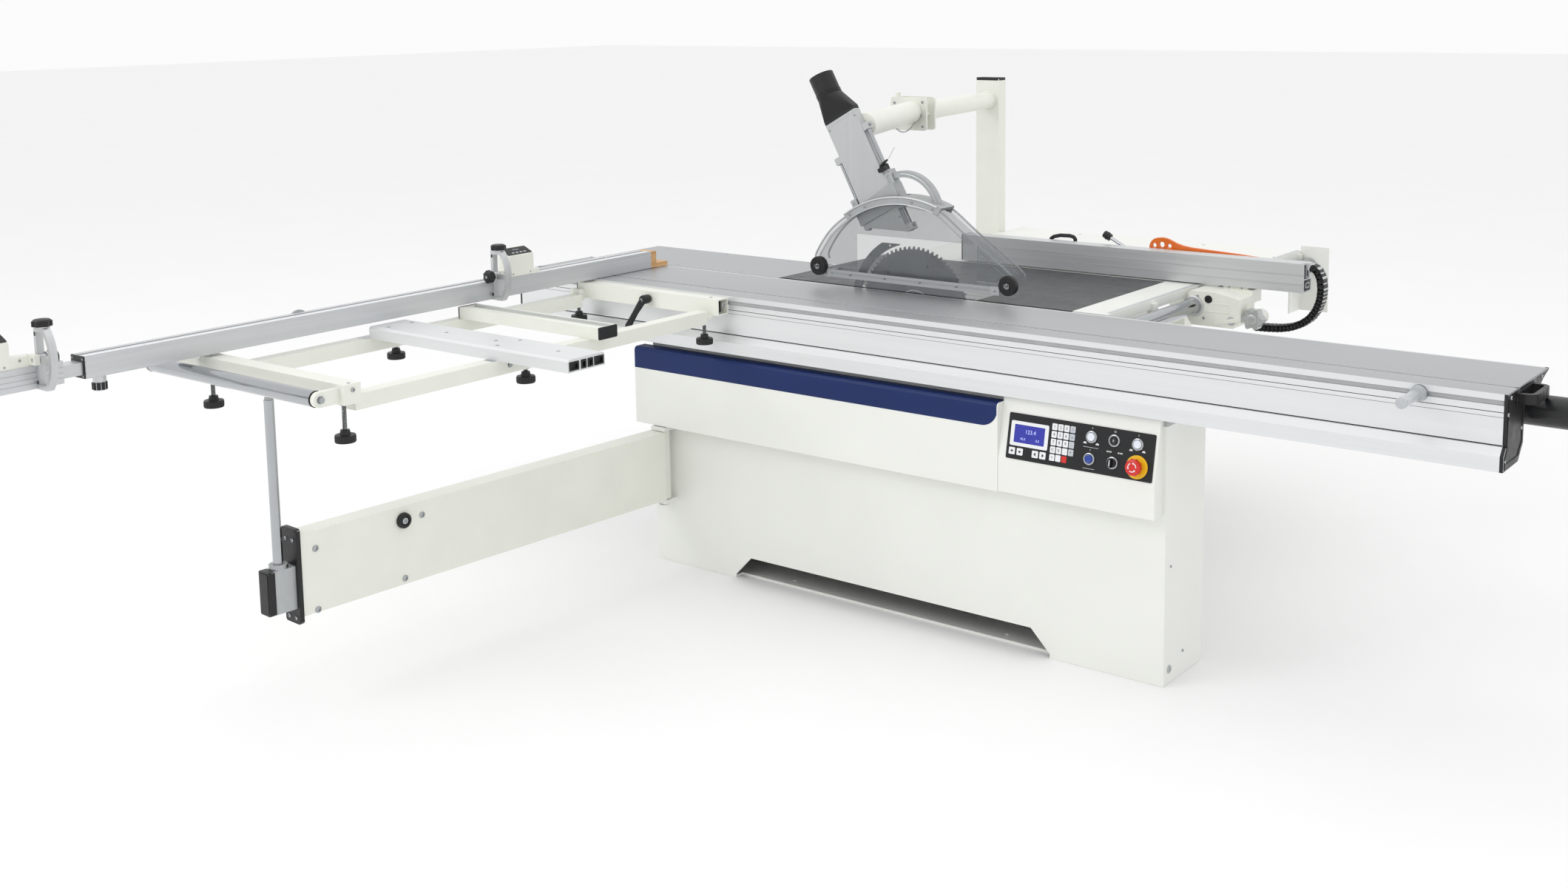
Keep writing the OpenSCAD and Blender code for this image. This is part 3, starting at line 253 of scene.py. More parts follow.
DUCT_AT = basis((-193.1, 0, 1088.7), (C(DL), 0, S(DL)), (0, 1, 0), (-S(DL), 0, C(DL)))
DUCT_PLANE = DUCT_AT @ ALONG_Y

# places that several pieces share
TOP, RAIL_TOP, FENCE_TOP = 900, 895, 958
CARRIAGE_ENDS = ((1724, 1), (-1484, -1))                         # x, outward direction
FENCE_MARKS_X = -1124.4
ROLLER = (-1800, 868)                                            # y, z of the end roller's axis
GUIDE_BAR = (572, 852)                                           # x, z of the rip fence's bar
ARM_POST, ARM_BUMPER = (0, 1380), (30, 1013.5, 403)                # along the arm
BLADE_CENTRE = (-110, 38, 845)
ESTOP, SELECTOR = (830, 38), (760, 38)                           # on the control face
DUCT_MID = 38                                                    # y of the duct's middle plane
RODS = ((-1, -75, 34, 38, 262), (1, 73, -14, -30, 312))          # side, x, foot, lower and upper clamp
CROWN_C = (-133, 822)                                            # x, z of the crown's arc


def polar(r, deg, cu=0, cv=0):
    """Point on a circle about (cu, cv)."""
    return (cu + r * C(math.radians(deg)), cv + r * S(math.radians(deg)))


def spot(at, u, v):
    """Basis moved within its own plane."""
    return at @ Matrix.Translation((u, v, 0))


def facing(o, d):
    """Basis at o with its third axis along d."""
    d = Vector(d).normalized()
    u = Vector((0, 0, 1)) if abs(d.z) < 0.9 else Vector((1, 0, 0))
    x = u.cross(d).normalized()
    return basis(o, x, d.cross(x), d)


def prism(bm, outline, h0, h1, at=ALONG_Z, holes=()):
    """Extruded outline; holes are outlines cut out of it."""
    loops = [outline, *holes]
    edges = []
    for loop in loops:
        vs = [bm.verts.new(at @ Vector((u, v, h0))) for u, v in loop]
        edges += [bm.edges.new((vs[i], vs[(i + 1) % len(vs)])) for i in range(len(vs))]
    faces = [g for g in bmesh.ops.triangle_fill(bm, edges=edges, use_beauty=True)["geom"]
             if isinstance(g, bmesh.types.BMFace)]
    r = bmesh.ops.extrude_face_region(bm, geom=faces)
    vs = [g for g in r["geom"] if isinstance(g, bmesh.types.BMVert)]
    bmesh.ops.translate(bm, vec=at.to_3x3() @ Vector((0, 0, h1 - h0)), verts=vs)


def poly(bm, outline, h0, h1, at=ALONG_Z):
    """Extruded simple outline with one n-gon at each end."""
    a = [bm.verts.new(at @ Vector((u, v, h0))) for u, v in outline]
    b = [bm.verts.new(at @ Vector((u, v, h1))) for u, v in outline]
    bm.faces.new(a)
    bm.faces.new(b)
    for i in range(len(a)):
        j = (i + 1) % len(a)
        bm.faces.new((a[i], a[j], b[j], b[i]))


def flat(bm, outline, h, at=ALONG_Z):
    """One face in the basis' plane, h above it."""
    bm.faces.new([bm.verts.new(at @ Vector((u, v, h))) for u, v in outline])


def rect(u0, u1, v0, v1, r=0, n=5):
    """Rectangle, with rounded corners where r is given."""
    if r <= 0:
        return [(u0, v0), (u1, v0), (u1, v1), (u0, v1)]
    out = []
    for cu, cv, a in ((u1 - r, v0 + r, -90), (u1 - r, v1 - r, 0), (u0 + r, v1 - r, 90), (u0 + r, v0 + r, 180)):
        out += [polar(r, a + 90 * i / n, cu, cv) for i in range(n + 1)]
    return out


def ring(r, n=48, cu=0, cv=0, lobes=0, amp=0):
    """Circle of n points, with a wavy edge where lobes are given."""
    return [(cu + (r + amp * C(lobes * TAU * i / n)) * C(TAU * i / n),
             cv + (r + amp * C(lobes * TAU * i / n)) * S(TAU * i / n)) for i in range(n)]


def lathe(bm, prof, at, seg=40):
    """Surface of revolution about the basis' third axis; prof is (radius, height) pairs."""
    rows = []
    for r, h in prof:
        if r < 1e-6:
            rows.append([bm.verts.new(at @ Vector((0, 0, h)))])
        else:
            rows.append([bm.verts.new(at @ Vector((r * C(TAU * i / seg), r * S(TAU * i / seg), h)))
                         for i in range(seg)])
    for a, b in zip(rows, rows[1:]):
        for i in range(seg):
            j = (i + 1) % seg
            f = [a[i % len(a)], a[j % len(a)], b[j % len(b)], b[i % len(b)]]
            f = list(dict.fromkeys(f))
            if len(f) > 2:
                bm.faces.new(f)


def tube(bm, pts, r, seg=12, caps=True):
    """Round bar swept along points."""
    pts = [Vector(p) for p in pts]
    rows, up = [], None
    for i, p in enumerate(pts):
        d = (pts[min(i + 1, len(pts) - 1)] - pts[max(i - 1, 0)]).normalized()
        if up is None:
            up = Vector((0, 0, 1)) if abs(d.z) < 0.9 else Vector((1, 0, 0))
        x = up.cross(d).normalized()
        up = d.cross(x)
        rr = r[i] if isinstance(r, (list, tuple)) else r
        rows.append([bm.verts.new(p + (x * C(TAU * k / seg) + up * S(TAU * k / seg)) * rr) for k in range(seg)])
    for a, b in zip(rows, rows[1:]):
        for k in range(seg):
            bm.faces.new((a[k], a[(k + 1) % seg], b[(k + 1) % seg], b[k]))
    if caps:
        bm.faces.new(rows[0])
        bm.faces.new(rows[-1])


GLYPH = {}


def words(bm, text, at, size, u, v, h):
    """Flat generic numerals in the basis' plane."""
    if text not in GLYPH:
        cu = bpy.data.curves.new("glyph", "FONT")
        cu.body = text
        cu.align_x = "CENTER"
        cu.align_y = "CENTER"
        cu.size = 1
        ob = bpy.data.objects.new("glyph", cu)
        scene.collection.objects.link(ob)
        bpy.context.view_layer.update()
        me = ob.to_mesh()
        GLYPH[text] = ([v_.co.copy() for v_ in me.vertices], [list(p_.vertices) for p_ in me.polygons])
        ob.to_mesh_clear()
        bpy.data.objects.remove(ob)
        bpy.data.curves.remove(cu)
    vs, fs = GLYPH[text]
    nv = [bm.verts.new(at @ Vector((u + c.x * size, v + c.y * size, h))) for c in vs]
    for f in fs:
        try:
            bm.faces.new([nv[i] for i in f])
        except ValueError:
            pass


def put(name, bm, mat, body, slot=None, bevel=0.0, seg=2, solid=True):
    """Finish a piece: its mesh in metres, material, edges and body; slot is not used."""
    if solid:
        bmesh.ops.recalc_face_normals(bm, faces=bm.faces)
    me = bpy.data.meshes.new(name)
    bm.to_mesh(me)
    bm.free()
    me.transform(Matrix.Scale(0.001, 4))
    me.materials.append(mat)
    me.shade_smooth()
    me.set_sharp_from_angle(angle=math.radians(32))
    o = bpy.data.objects.new(name, me)
    scene.collection.objects.link(o)
    if bevel:
        b = o.modifiers.new("bevel", "BEVEL")
        b.width = bevel * 0.001
        b.segments = seg
        b.limit_method = "ANGLE"
        b.angle_limit = math.radians(40)
    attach(o, body)
    return o


def round_head(bm, at, r, h=0.6):
    """Domed screw head with a hexagon socket."""
    s = r * 0.5
    lathe(bm, [(0, 0), (r, 0), (r, h * r * 0.35), (r * 0.86, h * r * 0.75), (r * 0.62, h * r),
               (s, h * r), (s * 0.98, h * r * 0.4), (0, h * r * 0.4)], at, 24)


def flat_head(bm, at, r):
    """Countersunk screw with a socket, a hair proud of its surface."""
    s = r * 0.45
    lathe(bm, [(0, 0), (r, 0), (r, 0.25), (r * 0.9, 0.45), (s, 0.45), (s, 0.08), (0, 0.08)], at, 20)


def hex_head(bm, at, r, h):
    """Hexagon head on its washer."""
    lathe(bm, [(0, 0), (r * 1.25, 0), (r * 1.25, 1), (0, 1)], at, 28)
    poly(bm, ring(r, 6), 1, h, at)


def thread(bm, at, r, h0, h1, pitch):
    """Screw thread, as rings."""
    prof = [(0, h0)]
    k = h0
    while k < h1 - pitch:
        prof += [(r, k), (r - 0.35 * pitch, k + pitch / 2)]
        k += pitch
    prof += [(r, k), (r, h1), (0, h1)]
    lathe(bm, prof, at, 20)


def heads(name, body, *groups, mat=STEEL, at=ALONG_Z):
    """One piece of screw heads; a group is (shape, its sizes, its direction, its places)."""
    bm = bmesh.new()
    for shape, sizes, way, places in groups:
        for place in places:
            shape(bm, at @ facing(place, way), *sizes)
    put(name, bm, mat, body, "ground_steel")


def turned(name, prof, at, mat, body, slot=None, seg=40, **k):
    """A piece that is one surface of revolution."""
    bm = bmesh.new()
    lathe(bm, prof, at, seg)
    put(name, bm, mat, body, slot, **k)


def slab(name, outline, h0, h1, mat, body, slot=None, at=ALONG_Z, holes=None, **k):
    """A piece that is one extruded outline."""
    bm = bmesh.new()
    if holes:
        prism(bm, outline, h0, h1, at, holes)
    else:
        poly(bm, outline, h0, h1, at)
    return put(name, bm, mat, body, slot, **k)


def marks(bm, x, y0, step, n, z, lengths, half=0.35):
    """Scale lines that run to -X from x; every tenth and every fifth is longer."""
    for k in range(n):
        y = y0 + k * step
        w = lengths[0] if k % 10 == 0 else lengths[1] if k % 5 == 0 else lengths[2]
        flat(bm, [(x, y - half), (x, y + half), (x - w, y + half), (x - w, y - half)], z)


# ---------------------------------------------------------------- cabinet
bm = bmesh.new()
# the blue strip over the cover's rounded top edge; its lower edge rises in an arc at the right end
ARC_X, ARC_R = 366, 52
rows = []
for x in [-927.3 + i * 30 for i in range(43)] + [ARC_X + i * 3.5 for i in range(15)]:
    d = max(0, x - ARC_X)
    low = 639 + (ARC_R - math.sqrt(max(0, ARC_R ** 2 - min(d, ARC_R - 0.5) ** 2)))
    outline = [(-350.0, low), (-350.4, low + 0.2), (-350.4, 694)]
    outline += [polar(12.4, 180 - a, -338, 694) for a in range(15, 91, 15)]
    rows.append([bm.verts.new((x, y, z)) for y, z in outline + [(-302, 706.4)]])
for a, b in zip(rows, rows[1:]):
    for k in range(len(a) - 1):
        bm.faces.new((a[k], b[k], b[k + 1], a[k + 1]))
bmesh.ops.recalc_face_normals(bm, faces=bm.faces)
put("front_stripe", bm, BLUE, "base", solid=False)

heads("cabinet_screws", "base", (round_head, (4,), RIGHT, [(893, -267, 320)]),
      (round_head, (4.5,), RIGHT, [(893, -186, 65)]),
      (round_head, (4,), LEFT, [(-893, -267, 320), (-893, -186, 65), (-893, -266, 560)]),
      (round_head, (4.5,), FAR, [(x, 600, z) for z in (120, 400, 640) for x in (-500, 360)]))
turned("earth_plug", [(0, 0), (11, 0), (11, 2.2), (9, 3), (5.6, 3), (5.2, 1.2), (0, 1.0)],
       facing((893, -266, 39.3), RIGHT), GREY_PLASTIC, "base")

# rear service door with its latches and louvres
bm = bmesh.new()
prism(bm, rect(-480, 300, 330, 700, 14), 600, 602.4, ALONG_Y)
put("rear_door", bm, WHITE, "base", bevel=0.8)
bm = bmesh.new()
for x in (-430, -250, -70, 110, 250):
    for k in range(5):
        poly(bm, [(602.3, 600 + k * 16), (607, 601 + k * 16), (607.6, 603 + k * 16), (602.3, 610 + k * 16)],
             x - 60, x + 60 if x < 250 else x + 40, ALONG_X)
put("rear_louvres", bm, WHITE, "base", bevel=0.4)
bm = bmesh.new()
for x in (-462, 282):
    lathe(bm, [(0, 0), (13, 0), (13, 3), (11, 4.5), (6, 4.5), (5.5, 2.5), (0, 2.5)], facing((x, 602.4, 500), FAR), 36)
put("door_latches", bm, BLACK, "base")
bm = bmesh.new()
for h in (8, 22, 36):
    lathe(bm, [(60, h), (62, h + 1.5), (62, h + 5), (60, h + 6.5)], facing((-60, 602, 250), FAR), 64)
put("outlet_beads", bm, BLACK, "base")

# control panel
P = PANEL_AT


def key_at(column, row):
    """Centre of a keypad key on the control face."""
    return 583.5 + 18 * column, 107 - 20.5 * row


def key(bm, column, row):
    """One raised key of the keypad."""
    u, v = key_at(column, row)
    poly(bm, rect(u - 7.8, u + 7.8, v - 8.8, v + 8.8, 2.2), 2.0, 3.2, P)


slab("display_frame", rect(452, 567, 40, 107, 4), 2.0, 3.4, KEY, "base", at=P,
     holes=[rect(463, 556, 49, 98, 2)], bevel=0.4)
slab("display_glass", rect(462.5, 556.5, 48.5, 98.5, 1), 2.02, 2.35, LCD, "base", "panel", at=P)
bm = bmesh.new()
for text, u, v, sz in (("123.4", 512, 80, 15), ("45.0", 490, 60, 9), ("0.0", 535, 60, 9)):
    words(bm, text, P, sz, u, v, 2.45)
put("display_digits", bm, LCD_INK, "base", "panel", solid=False)
bm = bmesh.new()
for u in (461, 485, 532, 555):
    poly(bm, rect(u - 9.5, u + 9.5, 15.5, 34.5, 2.5), 2.0, 3.1, P)
for r in range(5):
    for c in range(3):
        key(bm, c, r)
put("keys_white", bm, KEY, "base", bevel=0.5)
bm = bmesh.new()
for r in range(4):
    key(bm, 3, r)
put("keys_grey", bm, KEY_GREY, "base", bevel=0.5)
slab("key_red", rect(611.7, 627.3, 16.2, 33.8, 2.2), 2.05, 3.4, RED, "base", at=P, bevel=0.5)
bm = bmesh.new()
for i, g in enumerate("123456789C0."):
    words(bm, g, P, 11, *key_at(i % 3, i // 3), 3.45)
for r, g in enumerate("/x-+"):
    words(bm, g, P, 10, *key_at(3, r), 3.45)
words(bm, "<", P, 11, *key_at(0, 4), 3.45)
for u, d in ((461, 1), (485, -1), (532, 1), (555, -1)):
    if u < 500:
        flat(bm, [(u - 5, 25 - 2 * d), (u + 5, 25 - 2 * d), (u, 25 + 4.5 * d)], 3.3, P)
    else:
        flat(bm, [(u + 2 * d, 20), (u + 2 * d, 30), (u - 4.5 * d, 25)], 3.3, P)
put("key_legends", bm, INK, "base", solid=False)
bm = bmesh.new()
for u, v, g in ((694, 119, "I"), (760, 119, "O"), (827, 119, "I"), (693, 61, "I")):
    words(bm, g, P, 8, u, v, 2.25)
for u, v in ((676, 79), (712, 79), (845, 79), (809, 79)):
    flat(bm, [polar(5, a, u, v - 2) for a in range(0, 181, 20)], 2.25, P)
for k in range(3):
    for u in (741, 773):
        poly(bm, rect(u + k * 5, u + k * 5 + 3.2, 64, 67.5), 2.1, 2.3, P)
for u0, u1, v in ((676, 710, 12), (672, 716, 68)):
    flat(bm, rect(u0, u1, v, v + 0.8), 2.2, P)
put("panel_legends", bm, LEGEND, "base", "panel", solid=False)
bm = bmesh.new()
for u, v in ((694, 96), (827, 96), (760, 96), (693, 38), (760, 38)):
    lathe(bm, [(12.2, 2.1), (16.4, 2.1), (16.8, 3.4), (15.8, 5.4), (14.6, 6.1), (12.2, 6.1), (11.6, 5.2),
               (11.6, 2.1)], spot(P, u, v), 48)
put("button_bezels", bm, CHROME, "base", "ground_steel")
turned("estop_ring", [(11.2, 4.1), (30.5, 2.1), (30.5, 4.4), (29.5, 5.1), (14, 5.1), (11.2, 4.9)],
       spot(P, *ESTOP), YELLOW, "base", "red_plastic", seg=56)
for body, u, v, mat, slot in (
        ("start", 694, 96, WHITE_BTN, "white_plastic"), ("scoring_button", 827, 96, WHITE_BTN, "white_plastic"),
        ("stop", 760, 96, BLACK, "black_tube"), ("reset", 693, 38, BLUE_BTN, "blue_plastic")):
    bm = bmesh.new()
    lathe(bm, [(0, 6.9), (10.9, 6.9), (10.9, 7.4), (10.2, 8.4), (8.6, 8.9), (7.4, 8.3), (0, 8.1)],
          spot(P, u, v), 48)
    put(body + "_face", bm, mat, body, slot)
bm = bmesh.new()
words(bm, "0", P, 9, 760, 96, 9.0)
put("stop_mark", bm, LEGEND, "stop", "white_plastic", solid=False)
bm = bmesh.new()
lathe(bm, [(0, 27.5), (20.8, 27.5), (21.3, 25), (21.0, 28.2), (19.6, 30.2), (16, 31.4), (8, 32), (0, 32.1)],
      spot(P, *ESTOP), 56)
for k in range(10):
    a = TAU * k / 10
    lathe(bm, [(0, 19), (2.2, 19), (2.4, 25), (1.6, 28), (0, 28.6)],
          spot(P, ESTOP[0] + 20.4 * C(a), ESTOP[1] + 20.4 * S(a)), 10)
put("estop_dome", bm, RED, "estop")
bm = bmesh.new()
for k in range(3):
    a0 = TAU * k / 3
    arc = [(ESTOP[0] + r * C(a0 + t), ESTOP[1] + r * S(a0 + t))
           for r, ts in ((12.5, (0, .3, .6, .9, 1.2)), (10, (1.2, .9, .6, .3, 0))) for t in ts]
    flat(bm, arc, 32.0, P)
    tip = [(ESTOP[0] + r * C(a0 + t), ESTOP[1] + r * S(a0 + t)) for r, t in ((14.4, 1.2), (11.2, 1.62), (8, 1.2))]
    flat(bm, tip, 32.05, P)
put("estop_arrows", bm, LEGEND, "estop", "white_plastic", solid=False)
slab("selector_mark", rect(758.9, 761.1, 30, 46, 0.8), 20.9, 21.3, LEGEND, "selector", "white_plastic", at=P)
turned("selector_collar", [(12.05, 6), (12.6, 6.4), (12.6, 11.4), (11.6, 12.8), (0, 13)],
       spot(P, *SELECTOR), BLACK, "selector")

# ---------------------------------------------------------------- tables
heads("insert_screws", "base", (flat_head, (5,), UP,
      [(x, y, TOP) for x, y in ((-310, 58), (-110, 58), (90, 58), (-310, 148), (-110, 148), (90, 148))]))
# painted shade: thin dark strips standing for the shade in the insert's grooves
bm = bmesh.new()
poly(bm, rect(-300, 96, 48, 49, 0.3), TOP, TOP + 0.2)
poly(bm, rect(-310, 92, 100, 100.7, 0.2), TOP, TOP + 0.2)
put("insert_groove_shade", bm, DARK_GREY, "base")
heads("table_bolts", "base", (round_head, (5,), FAR, [(x, 645.2, 872) for x in (-600, -300, 0, 300, 400)]))
heads("side_table_screws", "base", (flat_head, (6,), UP, [(x, y, TOP) for x in (-300, 200) for y in (700, 1440)]),
      (flat_head, (5,), UP, [(520, y, TOP) for y in (700, 1000, 1300)]))
heads("bar_bracket_bolts", "base",
      (hex_head, (6, 5), RIGHT, [(540.4, y, GUIDE_BAR[1] + dz) for y in (335, 915, 1475) for dz in (-10, 10)]))
turned("bar_end_plug", [(0, 0), (25.2, 0), (25.2, 5), (23, 8), (0, 8.6)],
       facing((GUIDE_BAR[0], 55, GUIDE_BAR[1]), NEAR), BLACK, "base", seg=48, bevel=0.4)
# millimetre scale beside the guide bar
slab("rip_scale", rect(524, 538, 70, 1490), TOP, TOP + 0.5, ALU_RIP, "base")
bm = bmesh.new()
marks(bm, 537, 80, 10, 141, TOP + 0.62, (9, 6.5, 4.5))
put("rip_scale_marks", bm, INK, "base", solid=False)
# outfeed table bracket screws
heads("outfeed_screws", "base",
      (flat_head, (5,), UP, [(x, y, TOP) for x in (-1380, -1100, -820) for y in (60, 320)]))
bm = bmesh.new()
for x, way in ((2150, RIGHT), (-1400, LEFT)):
    lathe(bm, [(0, 0), (37.6, 0), (37.6, 5), (34, 9), (0, 9.6)], facing((x, -110, 826), way), 56)
put("guide_tube_plugs", bm, BLACK, "base")

# ---------------------------------------------------------------- overhead guard, fixed part
slab("column_cap", rect(-689.6, -588.4, 1324.4, 1375.6, 5), 1480, 1491, BLACK, "base", bevel=1.5, seg=3)
heads("post_bolts", "base", (hex_head, (7, 7), UP, [(x, y, 10) for x in (-720, -565) for y in (1305, 1395)]),
      (hex_head, (5, 6), UP, [(x, y, 10) for y in (1390, 1470) for x in (80, 160)]),
      (round_head, (5,), NEAR, [(-598, 642, 1362), (-598, 642, 1436), (-482, 642, 1356), (-482, 642, 1440)]))
turned("pipe_weld", [(32, 0), (34.5, 0.5), (36, 4), (34.2, 9), (32, 11)],
       facing((-639, 1324.8, 1406), (0.2, -0.98, 0)), WHITE2, "base", seg=56)
turned("pin_ball", [(0, -9.5), (5, -8.2), (8.4, -4.5), (9.4, 0), (8.4, 4.5), (5, 8.2), (0, 9.5)],
       facing((-491, 632, 1396), NEAR), CHROME, "base", seg=28)
bm = bmesh.new()
CHAIN_FROM, CHAIN_TO = Vector((-491, 626, 1387)), Vector((-598, 640, 1356))
LINKS, SAG = 24, 34


def hang(t):
    """Point of the hanging pin chain, t from 0 to 1."""
    p = CHAIN_FROM.lerp(CHAIN_TO, t)
    return Vector((p.x, p.y - 3, p.z - 4 * SAG * t * (1 - t)))


for k in range(LINKS):
    p0, p1 = hang(k / LINKS), hang((k + 1) / LINKS)
    d = (p1 - p0).normalized()
    side = Vector(FAR) if k % 2 else d.cross(Vector(FAR)).normalized()
    mid, half = (p0 + p1) / 2, (p1 - p0).length * 0.72
    pts = [mid + d * half * C(TAU * i / 12) + side * 2.6 * S(TAU * i / 12) for i in range(13)]
    tube(bm, pts, 0.75, 6, caps=False)
put("pin_chain", bm, STEEL, "base")
heads("duct_rivets", "base", (round_head, (3.2,), NEAR,
      [(u, 24, v) for u, v in ((-55, 62), (55, 22), (-55, 370), (55, 370))]), at=DUCT_AT)
slab("duct_collar", rect(-62.4, 62.4, 380, 389.6, 1), 23.4, 52.6, DUCT, "base", at=DUCT_PLANE, bevel=0.5)
bm = bmesh.new()
for h in (470, 478):
    lathe(bm, [(40, h), (41.2, h + 1), (41.2, h + 4), (40, h + 5)],
          spot(DUCT_AT, -11, DUCT_MID), 64)
put("nozzle_beads", bm, BLACK, "base")
bm = bmesh.new()
for side, x, foot, low, high in RODS:
    for z in (low, high):
        hex_head(bm, DUCT_AT @ facing((x + 10 * side, DUCT_MID, z + 11), (side, 0, 0)), 4.5, 5)
put("rod_clamp_bolts", bm, STEEL, "base")
bm = bmesh.new()
for side, x, foot, low, high in RODS:
    lathe(bm, [(0, foot), (6.25, foot), (6.25, high - 0.5), (0, high - 0.5)], spot(DUCT_AT, x, DUCT_MID), 24)
put("rod_sleeves", bm, CHROME, "base")

# ---------------------------------------------------------------- carriage
bm = bmesh.new()
for x0, d in CARRIAGE_ENDS:
    for y, z, r in ((-293, 889, 5), (-310, 853, 5), (-34, 889.5, 4.5), (-196, 800, 4.5), (-322, 748, 4.5)):
        round_head(bm, facing((x0, y, z), (d, 0, 0)), r)
put("end_plate_screws", bm, CHROME, "carriage", "ground_steel")
bm = bmesh.new()
LIP_END = [(-334.6, 726), (-332.4, 726), (-332.4, 758), (-316.5, 776), (-318, 778), (-334.6, 760)]
for x0, d in CARRIAGE_ENDS:
    for y in (-232, -98):
        for dy in (-9, 5):
            poly(bm, rect(y + dy, y + dy + 4, 884, 898, 0.8), x0, x0 + d * 0.7, ALONG_X)
    for outline in (rect(-316.8, -300, 897.6, 899.9, 0.2), rect(-300, 20, 897.9, 899.9, 0.2), LIP_END):
        poly(bm, outline, x0, x0 + d * 0.6, ALONG_X)
put("profile_ends", bm, ALU_TOP, "carriage")
bm = bmesh.new()
for x0, d in CARRIAGE_ENDS:
    prism(bm, [(-312, 884), (-240, 884), (-240, 869), (-182, 869), (-182, 866), (-182, 762), (-216, 729),
               (-326, 729), (-326, 755), (-312, 772)], x0, x0 + d * 1.6, ALONG_X,
          holes=[[(-302, 874), (-250, 874), (-250, 862), (-192, 862), (-192, 768), (-222, 740), (-314, 740),
                  (-314, 752), (-302, 766)]])
put("end_plate_ribs", bm, BLACK, "carriage", bevel=0.6)
# dark lines of the carriage: painted shade for the flute in the face and for the insides of the slots, and a dark
# seam line over the lip
bm = bmesh.new()
for z0, z1 in ((857, 858.6), (846, 846.8)):
    poly(bm, rect(-317.15, -316.9, z0, z1), -1476, 1716, ALONG_X)
put("carriage_flute_shade", bm, DARK_GREY, "carriage")
# painted shade inside the top slot, and the dark seam line over the lip
bm = bmesh.new()
poly(bm, rect(-236.6, -227.4, 892.2, 892.6), -1475, 1715, ALONG_X)
poly(bm, rect(-312.1, -311.9, 779.3, 782.7), -1475, 1715, ALONG_X)
put("slot_shadows", bm, DARK_GREY, "carriage")
slab("front_slot_fill", rect(-311.4, -311.1, 873.8, 885.2), -1475, 1715, GREY_PLASTIC, "carriage", "anodised",
     at=ALONG_X)
# painted shade: a darker anodised sheet over the carriage's top surface beside the slot
bm = bmesh.new()
poly(bm, rect(-315, -237.4, 899.9, 900.2, 0.1), -1483, 1723, ALONG_X)
poly(bm, rect(-226.6, 19, 899.9, 900.2, 0.1), -1483, 1723, ALONG_X)
put("carriage_top_shade", bm, ALU_TOP, "carriage")
# grip: moulded cross ribs
bm = bmesh.new()
for y in (-205, -178, -151):
    poly(bm, rect(1763.6, 1766.6, y - 5, y + 5, 1.2), 868, 888)
poly(bm, rect(1724, 1727, -250, -107, 1.4), 864, 892)
put("grip_ribs", bm, BLACK, "carriage", bevel=0.5)

# push handle
PUSH_X, PUSH_Z = 1528, 879.5
bm = bmesh.new()
at = facing((PUSH_X, -337, PUSH_Z), NEAR)
prof = [(0, 0), (17.4, 0)]
for k in range(5):
    prof += [(17.4, 1 + k * 3.4), (18.6, 1.8 + k * 3.4), (18.6, 3.4 + k * 3.4), (17.4, 4.2 + k * 3.4)]
prof += [(17.2, 19), (13.4, 22), (13.2, 24)]
lathe(bm, [(r, h - 18) for r, h in prof], at, 40)
put("handle_base", bm, HANDLE, "push_handle")
bm = bmesh.new()
lathe(bm, [(0, 97.4), (13.2, 97.4), (13.6, 99), (13.6, 106), (12, 110), (7, 112.4), (0, 113)], at, 40)
lathe(bm, [(13.1, 4), (13.5, 5), (13.5, 8), (13.1, 9)], at, 40)
put("handle_end", bm, HANDLE, "push_handle")
bm = bmesh.new()
hex_head(bm, facing((PUSH_X, -317.4, PUSH_Z), NEAR), 9, 3)
lathe(bm, [(0, 0), (20, 0), (20, 1.4), (0, 1.5)], facing((PUSH_X, -317.2, PUSH_Z), NEAR), 40)
put("handle_nut", bm, STEEL, "push_handle")

# ---------------------------------------------------------------- squaring frame
SCREWS = [(-607, -376, 838, 766), (-1150, -372, 838, 780), (-607, -1115, 820, 787), (-1140, -1125, 820, 790),
          (-1140, -1725, 845, 768), (-590, -1725, 845, 758)]
bm, bw, bn = (bmesh.new() for _ in range(3))
for x, y, top, mid in SCREWS:
    at = Matrix.Translation((x, y, 0))
    thread(bm, at, 5.9, mid + 20, top - 0.4, 2.4)
    prism(bw, ring(25.4, 96, lobes=24, amp=0.7), mid - 8, mid + 6, at)
    lathe(bw, [(0, mid - 10.4), (21, mid - 10.4), (24.4, mid - 8), (24.4, mid - 7), (0, mid - 7)], at, 40)
    lathe(bw, [(25, mid + 6), (22, mid + 8.4), (14, mid + 9), (12, mid + 16), (11.4, mid + 20.4),
               (5.5, mid + 20.6)], at, 40)
    lathe(bn, [(0, top - 6), (10.2, top - 6), (10.2, top - 0.5), (0, top - 0.5)], at, 6)
put("screw_threads", bm, CHROME, "carriage", "ground_steel")
put("screw_wheels", bw, BLACK, "carriage")
put("screw_nuts", bn, STEEL, "carriage")

# cross bar: chamber plugs at its near end
bm = bmesh.new()
for y0, y1 in ((-1231.5, -1197.5), (-1189.5, -1170.5), (-1165.5, -1146.5), (-1141.5, -1107.5)):
    prism(bm, rect(y0, y1, 864.5, 887.8, 2), -332, -316.4, ALONG_X,
          holes=[rect(y0 + 5, y1 - 5, 869, 883, 1.5)])
    poly(bm, rect(y0 + 4.5, y1 - 4.5, 868.5, 883.5, 1.5), -334, -322, ALONG_X)
put("cross_bar_plugs", bm, BLACK, "carriage", bevel=0.4)
heads("frame_screws", "carriage",
      (flat_head, (6,), UP, [(x, y, RAIL_TOP) for x, y in (
          (-1060, -1210), (-1060, -1128), (-860, -1170), (-660, -1170), (-610, -1210), (-610, -1128),
          (-420, -1170), (-1150, -342), (-607, -342))]),
      (flat_head, (5,), UP, [(-1146, -1720, RAIL_TOP), (-574, -1720, RAIL_TOP)]))
bm = bmesh.new()
for x in (-1160, -626):
    prism(bm, rect(x + 2, x + 40, -1250, -1090, 3), 860.02, 860.3)
    poly(bm, rect(x + 42.1, x + 66, -1200, -1140, 2), 852, 858)
put("rail_plates", bm, STEEL, "carriage", bevel=0.4)
